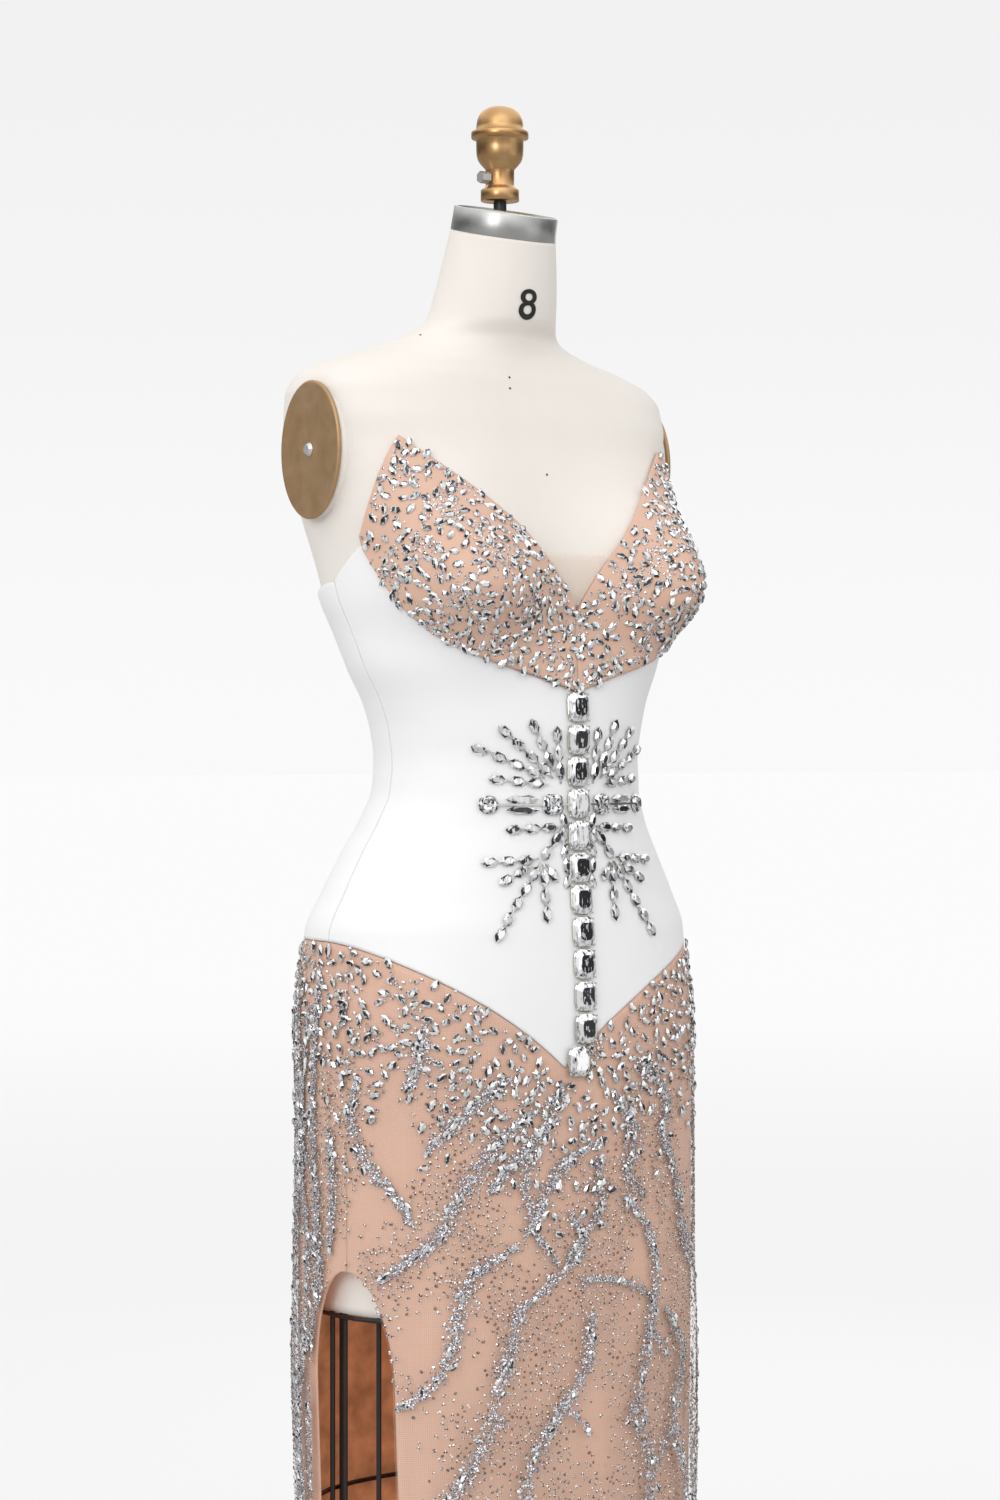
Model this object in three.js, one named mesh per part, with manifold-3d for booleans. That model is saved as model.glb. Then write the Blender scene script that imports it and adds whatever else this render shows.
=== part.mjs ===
// Strapless evening gown on a limbless dress form that stands on a round base.
// Millimetres, Z up. The wearer's front faces -Y and the wearer's left is +X.
// The origin is on the floor under the middle of the stand.

import * as THREE from 'three';
import { mergeVertices } from 'three/addons/utils/BufferGeometryUtils.js';
import Module from 'manifold-3d';

const wasm = await Module();
wasm.setup();

// Cloth
const bodiceWall = 1.6;
const cupWall = 3.2;
const cupStandOff = 1.8;
const liningWall = 1.2;
const netWall = 1.0;
const netSeamOut = 0.9;
const seamGap = 0.3;
const seamTurn = 0.0013;
const hipSeamGap = 0.9;
const formInset = 3.2;
const bareInset = 0.3;

// Levels above the floor
const hemHeight = 22;
const hipSeamSide = 930;
const hipSeamPoint = 822;
const hipSeamBend = 2.3;
const cupFoot = 1145;
const cupNotch = 1212;
const cupTip = 1363;
const cupCorner = 1271;
const cupEdgeBend = 0.8;
const cupFootSlope = 0.45;
const cupFootBend = 7;
const cupEndRise = 4;
const backNeckline = 1215;
const sideNeckline = 1240;
const backNecklineSpread = 60;
const skirtLeave = 70;
const netLeave = 60;
const foldFade = 240;
const plungeTop = 1264;

// Turns round the body, in degrees from the centre front, positive to the wearer's left
const cupTipTurn = 44;
const cupCornerTurn = 69;
const cupEndTurn = 68.4;
const bodiceSideTurn = 90;
const skirtSideTurn = 76;
const hipSeamPointTurn = -6.5;
const hipSeamSpread = 90;

// The high slit at the wearer's right side
const slitTop = 652;
const slitArch = 100;
const slitHalfTurn = 19;
const slitHemExtraTurn = 4;

// Bust of the form
const bust = { turn: 34, spread: 24, level: 1240, below: 52, above: 75, depth: 62, outward: 0.25 };

// Form hardware
const neckTilt = 13;
const neckRoot = 1474;
const neckTop = 1550;
const neckBandRadius = 47;
const neckBandTaper = 0.7;
const neckBandHeight = 21;
const armCentreY = 29;
const armLevel = 1354;
const armPlate = { depth: 44.5, height: 60, thickness: 4 };
const armSeatStart = 120;
const armSeatMargin = 1.5;
const armScrew = { top: 4, foot: 6, height: 3 };
const armFace = 180;
const formBottom = 612;
const wireRadius = 2.2;
const hoopLevels = [437, 290];
const wireTurns = [25, 68, 88, 98, 145];
const wireOverhang = 4;
const poleRadius = 16;
const baseRadius = 130;
const baseThickness = 14;
const baseHub = { wide: 34, rise: 4, top: 24, height: 30 };
const baseEdge = { soft: 2, shoulder: 3, slope: 4 };
const finialFoot = 1581;
const rodRadius = 5.75;
const finialNeckRadius = 12.75;
const domeRadius = 21.1;
const domeFoot = 1643.5;
const domeHeight = 21.5;
const setScrewSize = { radius: 5.5, length: 9, level: 1600.7 };

// Closure at the centre back
const zipWidth = 4;
const zipFoot = 933;
const sliderLevel = 1203;
const zipInset = 0.2;
const zipTurnRadius = 105;
const pivotLift = 1.9;
const slider = { half: 3.5, low: -3.8, high: 3.8, near: 1.1, far: 2.7 };
const bail = { foot: 3, top: 2.4, height: 3.6, eyeHeight: 1.95, eyeRadius: 1.05, depth: 2, sink: 0.05 };
const tab = { half: 2.6, top: 0.55, shoulder: -24, end: -26, endHalf: 1.2, thickness: 1.1 };
const tabWindow = { half: 1.6, top: -0.55, end: -4.6 };

const degrees = Math.PI / 180;

// Level sections of the bare form: half width, front, back, Y of the widest line, squareness
const bodySections = [
  { z: 600, wide: 172, front: -112, back: 124, side: 6, power: 2.4 },
  { z: 700, wide: 178, front: -117, back: 130, side: 6, power: 2.4 },
  { z: 800, wide: 181, front: -119, back: 133, side: 6, power: 2.4 },
  { z: 870, wide: 181, front: -119, back: 132, side: 6, power: 2.35 },
  { z: 937, wide: 178.5, front: -116, back: 128, side: 5, power: 2.3 },
  { z: 969, wide: 166, front: -113, back: 121, side: 2, power: 2.2 },
  { z: 1005, wide: 148, front: -111, back: 112, side: 0, power: 2.1 },
  { z: 1033, wide: 134, front: -110, back: 103, side: -5, power: 2 },
  { z: 1060, wide: 124.5, front: -109, back: 93, side: -9, power: 2 },
  { z: 1083, wide: 123, front: -108.5, back: 90, side: -10, power: 2 },
  { z: 1111, wide: 126.5, front: -109.5, back: 92, side: -10, power: 2 },
  { z: 1136, wide: 134, front: -108, back: 96, side: -9, power: 2 },
  { z: 1168, wide: 149, front: -104, back: 105, side: -5, power: 2 },
  { z: 1196, wide: 156, front: -95, back: 114, side: 3, power: 2.05 },
  { z: 1228, wide: 165, front: -92, back: 121, side: 12, power: 2.15 },
  { z: 1270, wide: 170, front: -83, back: 127, side: 20, power: 2.3 },
  { z: 1310, wide: 175, front: -70, back: 130, side: 25, power: 2.6 },
  { z: 1340, wide: 178, front: -62, back: 131, side: 29, power: 2.9 },
  { z: 1361, wide: 179.6, front: -56, back: 131, side: 29, power: 3.1 },
  { z: 1385, wide: 179.6, front: -50, back: 130, side: 27, power: 3.6 },
  { z: 1405, wide: 179, front: -43, back: 127, side: 29, power: 3.6 },
  { z: 1420, wide: 174, front: -38, back: 125, side: 36, power: 3.1 },
  { z: 1432, wide: 157, front: -33, back: 122, side: 44, power: 2.6 },
  { z: 1445, wide: 119, front: -30, back: 117, side: 43, power: 2 },
  { z: 1458, wide: 82, front: -32, back: 98, side: 33, power: 1.8 },
  { z: 1474, wide: 59, front: -44, back: 73, side: 15, power: 2 },
  { z: 1499, wide: 54.5, front: -48, back: 61, side: 6.6, power: 2 },
  { z: 1526, wide: 50.5, front: -50, back: 50, side: 0, power: 2 },
  { z: 1552, wide: 46.5, front: -51.5, back: 41.5, side: -5, power: 2 },
];

// Level sections of the skirt lining where it hangs free of the form
const skirtSections = [
  { z: 20, wide: 192, front: -139, back: 137, side: 2, power: 2.25 },
  { z: 200, wide: 185, front: -130, back: 131, side: 3, power: 2.3 },
  { z: 431, wide: 180, front: -121, back: 126, side: 5, power: 2.35 },
  { z: 560, wide: 183, front: -121, back: 130, side: 6, power: 2.4 },
  { z: 640, wide: 185, front: -122, back: 130, side: 5, power: 2.35 },
  { z: 785, wide: 185.5, front: -122, back: 129, side: 5, power: 2.35 },
  { z: 870, wide: 185, front: -121.5, back: 132, side: 6, power: 2.35 },
  { z: 940, wide: 181, front: -118, back: 130, side: 5, power: 2.3 },
];

// How far the sheer net stands off the lining at each level
const netSections = [
  { z: 20, out: 7 },
  { z: 431, out: 6.5 },
  { z: 560, out: 5 },
  { z: 640, out: 2.8 },
  { z: 800, out: 1.8 },
  { z: 940, out: 1 },
];

// Soft upright folds of the net: place, width, depth and the level where each dies out
const netFolds = [
  { turn: -41, width: 6, depth: 5, top: 600 },
  { turn: -28, width: 6, depth: 7, top: 640 },
  { turn: -15, width: 5, depth: 4, top: 520 },
  { turn: 14, width: 6, depth: 4, top: 480 },
  { turn: 37, width: 7, depth: 5, top: 560 },
  { turn: 128, width: 8, depth: 5, top: 520 },
  { turn: 152, width: 8, depth: 6, top: 600 },
  { turn: -128, width: 8, depth: 5, top: 560 },
  { turn: -150, width: 8, depth: 6, top: 500 },
];

// A smooth reading of one column of a table between its levels
function readTable(table, level, column) {
  const last = table.length - 1;
  const z = Math.min(Math.max(level, table[0].z), table[last].z);
  let i = 0;
  while (i < last - 1 && z > table[i + 1].z) {
    i += 1;
  }
  const slope = (k) => (table[k + 1][column] - table[k][column]) / (table[k + 1].z - table[k].z);
  const tangent = (k) => {
    if (k === 0 || k === last) {
      return slope(Math.min(k, last - 1));
    }
    const before = slope(k - 1);
    const after = slope(k);
    return before * after <= 0 ? 0 : (2 * before * after) / (before + after);
  };
  const span = table[i + 1].z - table[i].z;
  const s = (z - table[i].z) / span;
  const rise = table[i + 1][column] - table[i][column];
  const startBend = tangent(i) * span - rise;
  const endBend = rise - tangent(i + 1) * span;
  return table[i][column] + s * rise + s * (1 - s) * ((1 - s) * startBend + s * endBend);
}

function smooth(value) {
  const s = Math.min(Math.max(value, 0), 1);
  return s * s * (3 - 2 * s);
}

function mix(a, b, share) {
  return a + (b - a) * share;
}

// A point of a table's section at a turn, in radians from the centre front
function sectionPoint(table, turn, z) {
  const sine = Math.sin(turn);
  const cosine = Math.cos(turn);
  const side = readTable(table, z, 'side');
  const depth = cosine > 0 ? side - readTable(table, z, 'front') : readTable(table, z, 'back') - side;
  const power = readTable(table, z, 'power');
  const reach = (Math.abs(sine) ** power + Math.abs(cosine) ** power) ** (-1 / power);
  return new THREE.Vector3(readTable(table, z, 'wide') * reach * sine, side - depth * reach * cosine, z);
}

// The outside of the form, with its bust
function bodyPoint(turn, z) {
  const point = sectionPoint(bodySections, turn, z);
  const reach = z < bust.level ? bust.below : bust.above;
  const height = Math.exp(-(((z - bust.level) / reach) ** 2));
  for (const side of [-1, 1]) {
    const away = (turn / degrees - side * bust.turn) / bust.spread;
    const push = bust.depth * height * Math.exp(-away * away);
    point.x += side * bust.outward * push;
    point.y -= Math.sqrt(1 - bust.outward ** 2) * push;
  }
  return point;
}

// Moves a surface's point along the surface's own outward direction
function offsetPoint(surface, turn, z, distance) {
  const step = 0.002;
  const rise = 0.4;
  const across = surface(turn + step, z).sub(surface(turn - step, z));
  const up = surface(turn, z + rise).sub(surface(turn, z - rise));
  return surface(turn, z).addScaledVector(across.cross(up).normalize(), distance);
}

// Level of the seam between bodice and skirt, a long point near the centre front
function hipSeam(turn) {
  const share = Math.min(Math.abs(turn / degrees - hipSeamPointTurn) / hipSeamSpread, 1);
  return mix(hipSeamPoint, hipSeamSide, 1 - (1 - share) ** hipSeamBend);
}

function cupLowerEdge(turn) {
  const share = Math.abs(turn) / (cupCornerTurn * degrees);
  return mix(cupFoot, cupCorner, cupFootSlope * share + (1 - cupFootSlope) * share ** cupFootBend);
}

function cupUpperEdge(turn) {
  const tip = cupTipTurn * degrees;
  const size = Math.abs(turn);
  if (size < tip) {
    return mix(cupNotch, cupTip, (size / tip) ** cupEdgeBend);
  }
  return mix(cupTip, cupCorner + cupEndRise, (size - tip) / ((cupCornerTurn - cupTipTurn) * degrees));
}

function bodiceUpperEdge(turn) {
  const size = Math.abs(turn) / degrees;
  if (size < cupCornerTurn) {
    return cupLowerEdge(turn) - seamGap;
  }
  if (size < bodiceSideTurn) {
    return mix(cupCorner, sideNeckline, (size - cupCornerTurn) / (bodiceSideTurn - cupCornerTurn));
  }
  return mix(sideNeckline, backNeckline, smooth((size - bodiceSideTurn) / backNecklineSpread));
}

// The skirt leaves the body just under the hip seam
function skirtPoint(turn, z) {
  const share = smooth((hipSeam(turn) - z) / skirtLeave);
  return bodyPoint(turn, z).lerp(sectionPoint(skirtSections, turn, z), share);
}

function netOut(turn, z) {
  const fallen = smooth((hipSeam(turn) - z) / netLeave);
  let out = mix(netSeamOut, readTable(netSections, z, 'out'), fallen);
  for (const fold of netFolds) {
    const away = (turn / degrees - fold.turn) / fold.width;
    out += fold.depth * Math.exp(-away * away) * smooth((fold.top - z) / foldFade);
  }
  return out;
}

// Half the slit's width in radians at a level; below its arch the front edge falls open a little more
function slitHalf(z, extraTurn) {
  if (z >= slitTop) {
    return 0;
  }
  const down = Math.min((slitTop - z) / slitArch, 1);
  const widen = extraTurn * smooth((slitTop - slitArch - z) / (slitTop - slitArch - hemHeight));
  return (slitHalfTurn * Math.sqrt(1 - (1 - down) ** 2) + widen) * degrees;
}

function solidGeometry(points, faces) {
  const geometry = new THREE.BufferGeometry();
  const numbers = points.flatMap((point) => [point.x, point.y, point.z]);
  geometry.setAttribute('position', new THREE.Float32BufferAttribute(numbers, 3));
  geometry.setIndex(faces.flat());
  return geometry;
}

// A cloth wall: an outer and an inner face joined round the four edges
function wallGeometry(columns, rows, outerPoint, innerPoint) {
  const points = [];
  const faces = [];
  const width = columns + 1;
  const layer = width * (rows + 1);
  for (const pointAt of [outerPoint, innerPoint]) {
    for (let row = 0; row <= rows; row += 1) {
      for (let column = 0; column <= columns; column += 1) {
        points.push(pointAt(column / columns, row));
      }
    }
  }
  const outer = (column, row) => row * width + column;
  const inner = (column, row) => layer + row * width + column;
  const quad = (a, b, c, d) => faces.push([a, b, c], [a, c, d]);
  for (let row = 0; row < rows; row += 1) {
    for (let column = 0; column < columns; column += 1) {
      const next = column + 1;
      quad(outer(column, row), outer(next, row), outer(next, row + 1), outer(column, row + 1));
      quad(inner(column, row), inner(column, row + 1), inner(next, row + 1), inner(next, row));
    }
    quad(outer(0, row), outer(0, row + 1), inner(0, row + 1), inner(0, row));
    quad(outer(columns, row), inner(columns, row), inner(columns, row + 1), outer(columns, row + 1));
  }
  for (let column = 0; column < columns; column += 1) {
    const next = column + 1;
    quad(outer(column, 0), inner(column, 0), inner(next, 0), outer(next, 0));
    quad(outer(column, rows), outer(next, rows), inner(next, rows), inner(column, rows));
  }
  return solidGeometry(points, faces);
}

// Turn of a panel's column, with the middle column on a given turn
function turnPast(from, middle, to, share) {
  return share < 0.5 ? mix(from, middle, 2 * share) : mix(middle, to, 2 * share - 1);
}

// A panel of the wall kind, given by its turns, its two edges and the surface that it follows
function panelGeometry(panel) {
  const place = (share, row) => {
    const rowShare = row / panel.rows;
    const turn = panel.turnAt(share, rowShare);
    const foot = panel.bottom(panel.turnAt(share, 0));
    const top = panel.top(panel.turnAt(share, 1));
    return { turn, z: mix(foot, top, rowShare) };
  };
  const side = (distance) => (share, row) => {
    const { turn, z } = place(share, row);
    return offsetPoint(panel.surface, turn, z, distance);
  };
  return wallGeometry(panel.columns, panel.rows, side(panel.outer), side(panel.inner));
}

// Rows of a skirt panel: fixed levels round the slit, then even steps up to the hip seam
const skirtLevels = [hemHeight, 150, 290, 431, 552, 600, 626, 644, 652.4];
const skirtUpperRows = 4;

function skirtPanelGeometry(panel) {
  const rows = skirtLevels.length - 1 + skirtUpperRows;
  const place = (share, row) => {
    const fixed = row < skirtLevels.length;
    const level = fixed ? skirtLevels[row] : slitTop;
    const turn = turnPast(panel.from(level), panel.middle(level), panel.to(level), share);
    const upperShare = (row - skirtLevels.length + 1) / skirtUpperRows;
    return { turn, z: fixed ? level : mix(slitTop, hipSeam(turn), upperShare) };
  };
  const side = (thickness) => (share, row) => {
    const { turn, z } = place(share, row);
    return offsetPoint(skirtPoint, turn, z, panel.distance(turn, z) + thickness);
  };
  return wallGeometry(panel.columns, rows, side(panel.wall), side(0));
}

// A closed ring of round wire along a level section
function ringGeometry(pathPoint, steps, radius, sides) {
  const points = [];
  const faces = [];
  for (let step = 0; step < steps; step += 1) {
    const turn = (step / steps) * 2 * Math.PI;
    const centre = pathPoint(turn);
    const ahead = pathPoint(turn + 0.01).sub(pathPoint(turn - 0.01)).normalize();
    const outward = new THREE.Vector3(ahead.y, -ahead.x, 0);
    for (let side = 0; side < sides; side += 1) {
      const angle = (side / sides) * 2 * Math.PI;
      const point = centre.clone().addScaledVector(outward, radius * Math.cos(angle));
      point.z += radius * Math.sin(angle);
      points.push(point);
    }
  }
  for (let step = 0; step < steps; step += 1) {
    const following = (step + 1) % steps;
    for (let side = 0; side < sides; side += 1) {
      const beside = (side + 1) % sides;
      const corners = [step * sides + side, following * sides + side];
      corners.push(following * sides + beside, step * sides + beside);
      faces.push([corners[0], corners[1], corners[2]], [corners[0], corners[2], corners[3]]);
    }
  }
  return solidGeometry(points, faces);
}

// A stack of closed rings with a flat lid at each end
function loftGeometry(rings) {
  const count = rings[0].length;
  const points = rings.flat();
  const faces = [];
  for (let ring = 0; ring < rings.length - 1; ring += 1) {
    for (let step = 0; step < count; step += 1) {
      const beside = (step + 1) % count;
      const low = ring * count;
      const high = low + count;
      faces.push([low + step, low + beside, high + beside], [low + step, high + beside, high + step]);
    }
  }
  const top = (rings.length - 1) * count;
  for (let step = 1; step < count - 1; step += 1) {
    faces.push([0, step + 1, step], [top, top + step, top + step + 1]);
  }
  return solidGeometry(points, faces);
}

function toManifold(geometry) {
  const bare = geometry.clone();
  bare.deleteAttribute('normal');
  bare.deleteAttribute('uv');
  const merged = mergeVertices(bare, 1e-4);
  const vertProperties = new Float32Array(merged.attributes.position.array);
  const triVerts = new Uint32Array(merged.index.array);
  return new wasm.Manifold(new wasm.Mesh({ numProp: 3, vertProperties, triVerts }));
}

function fromManifold(solid) {
  const mesh = solid.getMesh();
  const geometry = new THREE.BufferGeometry();
  geometry.setAttribute('position', new THREE.Float32BufferAttribute(mesh.vertProperties, 3));
  geometry.setIndex(Array.from(mesh.triVerts));
  return geometry;
}

function joined(geometries) {
  return fromManifold(geometries.map(toManifold).reduce((all, one) => all.add(one)));
}

const group = new THREE.Group();
group.name = 'gown_on_form';

function addPiece(name, geometry, material) {
  const mesh = new THREE.Mesh(geometry, material);
  mesh.name = name;
  group.add(mesh);
  return mesh;
}

function finish(color, roughness, metalness) {
  return new THREE.MeshStandardMaterial({ color, roughness, metalness });
}

const whiteCloth = finish(0xf2f2f1, 0.8, 0);
const nudeCloth = finish(0xd9b6a0, 0.75, 0);
const sheerNet = finish(0xd8d4d0, 0.45, 0.2);
const crystal = finish(0xdfe6ea, 0.1, 0.3);
const canvas = finish(0xe6e1d6, 0.9, 0);
const steel = finish(0xb6b8ba, 0.3, 1);
const brass = finish(0xb08a52, 0.35, 1);
const blackIron = finish(0x1d1d1f, 0.5, 0.6);
const whitePlastic = finish(0xeeeeec, 0.5, 0);

// Cups, either side of the plunging neckline
const cupColumns = 10;
const cupTipColumn = 7;

// Turn of a cup's column, with one column on the pointed tip
function cupTurn(side, share) {
  const column = (side < 0 ? 1 - share : share) * cupColumns;
  const inner = seamTurn;
  const outer = cupEndTurn * degrees;
  const tip = cupTipTurn * degrees;
  const size = column < cupTipColumn
    ? mix(inner, tip, column / cupTipColumn)
    : mix(tip, outer, (column - cupTipColumn) / (cupColumns - cupTipColumn));
  return side * size;
}

for (const [name, side] of [['cup_right', -1], ['cup_left', 1]]) {
  addPiece(name, panelGeometry({
    turnAt: (share) => cupTurn(side, share),
    columns: cupColumns,
    rows: 8,
    bottom: cupLowerEdge,
    top: cupUpperEdge,
    surface: bodyPoint,
    inner: cupStandOff,
    outer: cupStandOff + cupWall,
  }), nudeCloth);
}

// Sheer net at the foot of the neckline, stretched between the cups
const plungeRows = 4;
const plungeColumns = 4;
const plungeFoot = cupNotch + 8;
const plungeEdgeTurn = 0.006;
const plungeOffset = 0.6;
const plungeWall = 1;

function plungeHalfTurn(z) {
  const share = (z - cupNotch) / (cupTip - cupNotch);
  return cupTipTurn * degrees * share ** (1 / cupEdgeBend) - plungeEdgeTurn;
}

function plungeSide(distance) {
  return (share, row) => {
    const z = mix(plungeFoot, plungeTop, row / plungeRows);
    return offsetPoint(bodyPoint, plungeHalfTurn(z) * (2 * share - 1), z, distance);
  };
}

const plungeOuter = plungeSide(cupStandOff + plungeOffset + plungeWall);
const plungeInner = plungeSide(cupStandOff + plungeOffset);
addPiece('plunge_net', wallGeometry(plungeColumns, plungeRows, plungeOuter, plungeInner), sheerNet);

// Bodice panels
const zipHalf = zipWidth / 2 + seamGap;
const zipTurn = zipHalf / zipTurnRadius;
const sideTurn = bodiceSideTurn * degrees;
// Turn of the front's middle column, which runs from the seam's point to the cups' foot
const pointTurn = hipSeamPointTurn * degrees;
const bodicePanels = [
  { name: 'bodice_front', from: -sideTurn + seamTurn, to: sideTurn - seamTurn, point: pointTurn, columns: 20 },
  { name: 'bodice_back_left', from: sideTurn + seamTurn, to: Math.PI - zipTurn, point: 0, columns: 10 },
  { name: 'bodice_back_right', from: -Math.PI + zipTurn, to: -sideTurn - seamTurn, point: 0, columns: 10 },
];
for (const { name, from, to, point, columns } of bodicePanels) {
  addPiece(name, panelGeometry({
    turnAt: (share, rowShare) => turnPast(from, (from + to) / 2 + point * (1 - rowShare), to, share),
    columns,
    rows: 14,
    bottom: (turn) => hipSeam(turn) + hipSeamGap,
    top: bodiceUpperEdge,
    surface: bodyPoint,
    inner: 0,
    outer: bodiceWall,
  }), whiteCloth);
}

// Skirt panels, lining and net alike
const skirtSide = skirtSideTurn * degrees;
const skirtPanels = [
  {
    name: 'front',
    from: (z) => -skirtSide + seamTurn + slitHalf(z, slitHemExtraTurn),
    to: () => skirtSide - seamTurn,
    middle: () => pointTurn,
  },
  { name: 'back_left', from: () => skirtSide + seamTurn, to: () => Math.PI - seamTurn },
  { name: 'back_right', from: () => -Math.PI + seamTurn, to: (z) => -skirtSide - seamTurn - slitHalf(z, 0) },
];
for (const { name, from, to, middle = (z) => (from(z) + to(z)) / 2 } of skirtPanels) {
  const isFront = name === 'front';
  addPiece(`skirt_lining_${name}`, skirtPanelGeometry({
    from,
    to,
    middle,
    columns: isFront ? 12 : 10,
    distance: () => 0,
    wall: liningWall,
  }), nudeCloth);
  addPiece(`skirt_net_${name}`, skirtPanelGeometry({
    from,
    to,
    middle,
    columns: isFront ? 24 : 10,
    distance: (turn, z) => liningWall + netOut(turn, z),
    wall: netWall,
  }), sheerNet);
}

// The form's torso, a little smaller than the cloth that it carries
const torsoTurns = 40;
const torsoLevels = [formBottom, 740, 860, 925, 950, 975, 1000, 1025, 1053, 1081, 1108, 1135, 1158, 1178, 1196];
torsoLevels.push(1214, 1232, 1250, 1270, 1295, 1325, 1350, 1375, 1397, 1413, 1425, 1436, 1447, 1459, neckRoot);
torsoLevels.push(1500, 1526, neckTop);

// The torso comes out to the cloth's inner face where no cloth covers it
const insetChange = { foot: 1240, reach: 60 };

function torsoRing(level) {
  const inset = mix(formInset, bareInset, smooth((level - insetChange.foot) / insetChange.reach));
  const tilt = Math.tan(neckTilt * degrees) * smooth((level - neckRoot) / (neckTop - neckRoot));
  const ring = [];
  for (let step = 0; step < torsoTurns; step += 1) {
    const turn = ((step / torsoTurns) * 2 - 1) * Math.PI;
    const point = offsetPoint(bodyPoint, turn, level, -inset);
    point.z = level + (point.y - readTable(bodySections, level, 'side')) * tilt;
    ring.push(point);
  }
  return ring;
}

// A flat oval seat for the arm plate, let into the side of the torso
function armSeat(side) {
  const length = armFace - armSeatStart;
  const seat = new THREE.CylinderGeometry(1, 1, length, 36);
  seat.scale(armPlate.depth - armSeatMargin, 1, armPlate.height - armSeatMargin);
  seat.rotateZ(Math.PI / 2);
  seat.translate(side * (armSeatStart + length / 2), armCentreY, armLevel);
  return seat;
}

addPiece('form_torso', joined([loftGeometry(torsoLevels.map(torsoRing)), armSeat(-1), armSeat(1)]), canvas);

// Arm plates with their centre screws
for (const [name, side] of [['right', -1], ['left', 1]]) {
  const plate = new THREE.CylinderGeometry(1, 1, armPlate.thickness, 32);
  plate.scale(armPlate.depth, 1, armPlate.height);
  plate.rotateZ(Math.PI / 2);
  const plateMiddle = armFace + seamGap + armPlate.thickness / 2;
  plate.translate(side * plateMiddle, armCentreY, armLevel);
  addPiece(`arm_plate_${name}`, plate, brass);
  const screw = new THREE.CylinderGeometry(armScrew.top, armScrew.foot, armScrew.height, 16);
  screw.rotateZ((-side * Math.PI) / 2);
  const screwMiddle = plateMiddle + armPlate.thickness / 2 + seamGap + armScrew.height / 2;
  screw.translate(side * screwMiddle, armCentreY, armLevel);
  addPiece(`arm_screw_${name}`, screw, steel);
}

// Neck band, finial rod, finial and its set screw
const neckAxis = new THREE.Vector3(0, -Math.sin(neckTilt * degrees), Math.cos(neckTilt * degrees));
const neckSeat = new THREE.Vector3(0, readTable(bodySections, neckTop, 'side'), neckTop);
const band = new THREE.CylinderGeometry(neckBandRadius - neckBandTaper, neckBandRadius, neckBandHeight, 32);
band.rotateX(Math.PI / 2);
band.rotateX(neckTilt * degrees);
const bandMiddle = neckSeat.clone().addScaledVector(neckAxis, neckBandHeight / 2 + seamGap);
band.translate(bandMiddle.x, bandMiddle.y, bandMiddle.z);
addPiece('neck_band', band, steel);

const bandTop = neckSeat.clone().addScaledVector(neckAxis, neckBandHeight + 2 * seamGap);
const rodRings = [0, 1].map((end) => {
  const ring = [];
  for (let step = 0; step < 20; step += 1) {
    const angle = (step / 20) * 2 * Math.PI;
    const x = rodRadius * Math.cos(angle);
    const y = rodRadius * Math.sin(angle);
    const seat = bandTop.z + (y - bandTop.y) * Math.tan(neckTilt * degrees);
    ring.push(new THREE.Vector3(x, y, end === 0 ? seat : finialFoot - seamGap));
  }
  return ring;
});
addPiece('finial_rod', loftGeometry(rodRings), blackIron);

function turned(profile, segments) {
  const geometry = new THREE.LatheGeometry(profile.map(([r, z]) => new THREE.Vector2(r, z)), segments);
  geometry.rotateX(Math.PI / 2);
  return geometry;
}

// Radius and level of the finial's outline: foot flange, neck, bulb and rim
const finialProfile = [[0, finialFoot], [17.1, finialFoot], [17.1, 1591], [finialNeckRadius, 1594.5]];
finialProfile.push([finialNeckRadius, 1608.5], [15.6, 1612], [19.6, 1617.5], [domeRadius, 1625]);
finialProfile.push([domeRadius, 1635.5], [25.5, 1636.5], [25.5, 1642.5]);
for (let step = 0; step <= 4; step += 1) {
  const angle = (step / 4) * 90 * degrees;
  const radius = step === 4 ? 0 : domeRadius * Math.cos(angle);
  finialProfile.push([radius, domeFoot + domeHeight * Math.sin(angle)]);
}
addPiece('finial', turned(finialProfile, 20), brass);

const setScrew = new THREE.CylinderGeometry(setScrewSize.radius, setScrewSize.radius, setScrewSize.length, 6);
setScrew.rotateZ(Math.PI / 2);
setScrew.translate(-finialNeckRadius - seamGap - setScrewSize.length / 2, 0, setScrewSize.level);
addPiece('finial_screw', setScrew, steel);

// Wire cage under the torso
const cagePoint = (inward, level) => (turn) => {
  const point = sectionPoint(bodySections, turn, formBottom);
  const outward = Math.hypot(point.x, point.y);
  return new THREE.Vector3(point.x, point.y, level).multiply(
    new THREE.Vector3(1 - inward / outward, 1 - inward / outward, 1),
  );
};
const rimInward = 2.2;
const wireInward = rimInward + 2 * wireRadius + 1;
const rimLevel = formBottom - wireRadius - seamGap;
addPiece('cage_rim', ringGeometry(cagePoint(rimInward, rimLevel), 28, wireRadius, 5), blackIron);
hoopLevels.forEach((level, index) => {
  addPiece(`cage_hoop_${index + 1}`, ringGeometry(cagePoint(rimInward, level), 28, wireRadius, 5), blackIron);
});
const wireFoot = hoopLevels[1] - wireOverhang;
for (const [name, side] of [['right', -1], ['left', 1]]) {
  wireTurns.forEach((turn, index) => {
    const foot = cagePoint(wireInward, wireFoot)(side * turn * degrees);
    const length = formBottom - seamGap - wireFoot;
    const wire = new THREE.CylinderGeometry(wireRadius, wireRadius, length, 6);
    wire.rotateX(Math.PI / 2);
    wire.translate(foot.x, foot.y, wireFoot + length / 2);
    addPiece(`cage_wire_${name}_${index + 1}`, wire, blackIron);
  });
}

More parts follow.
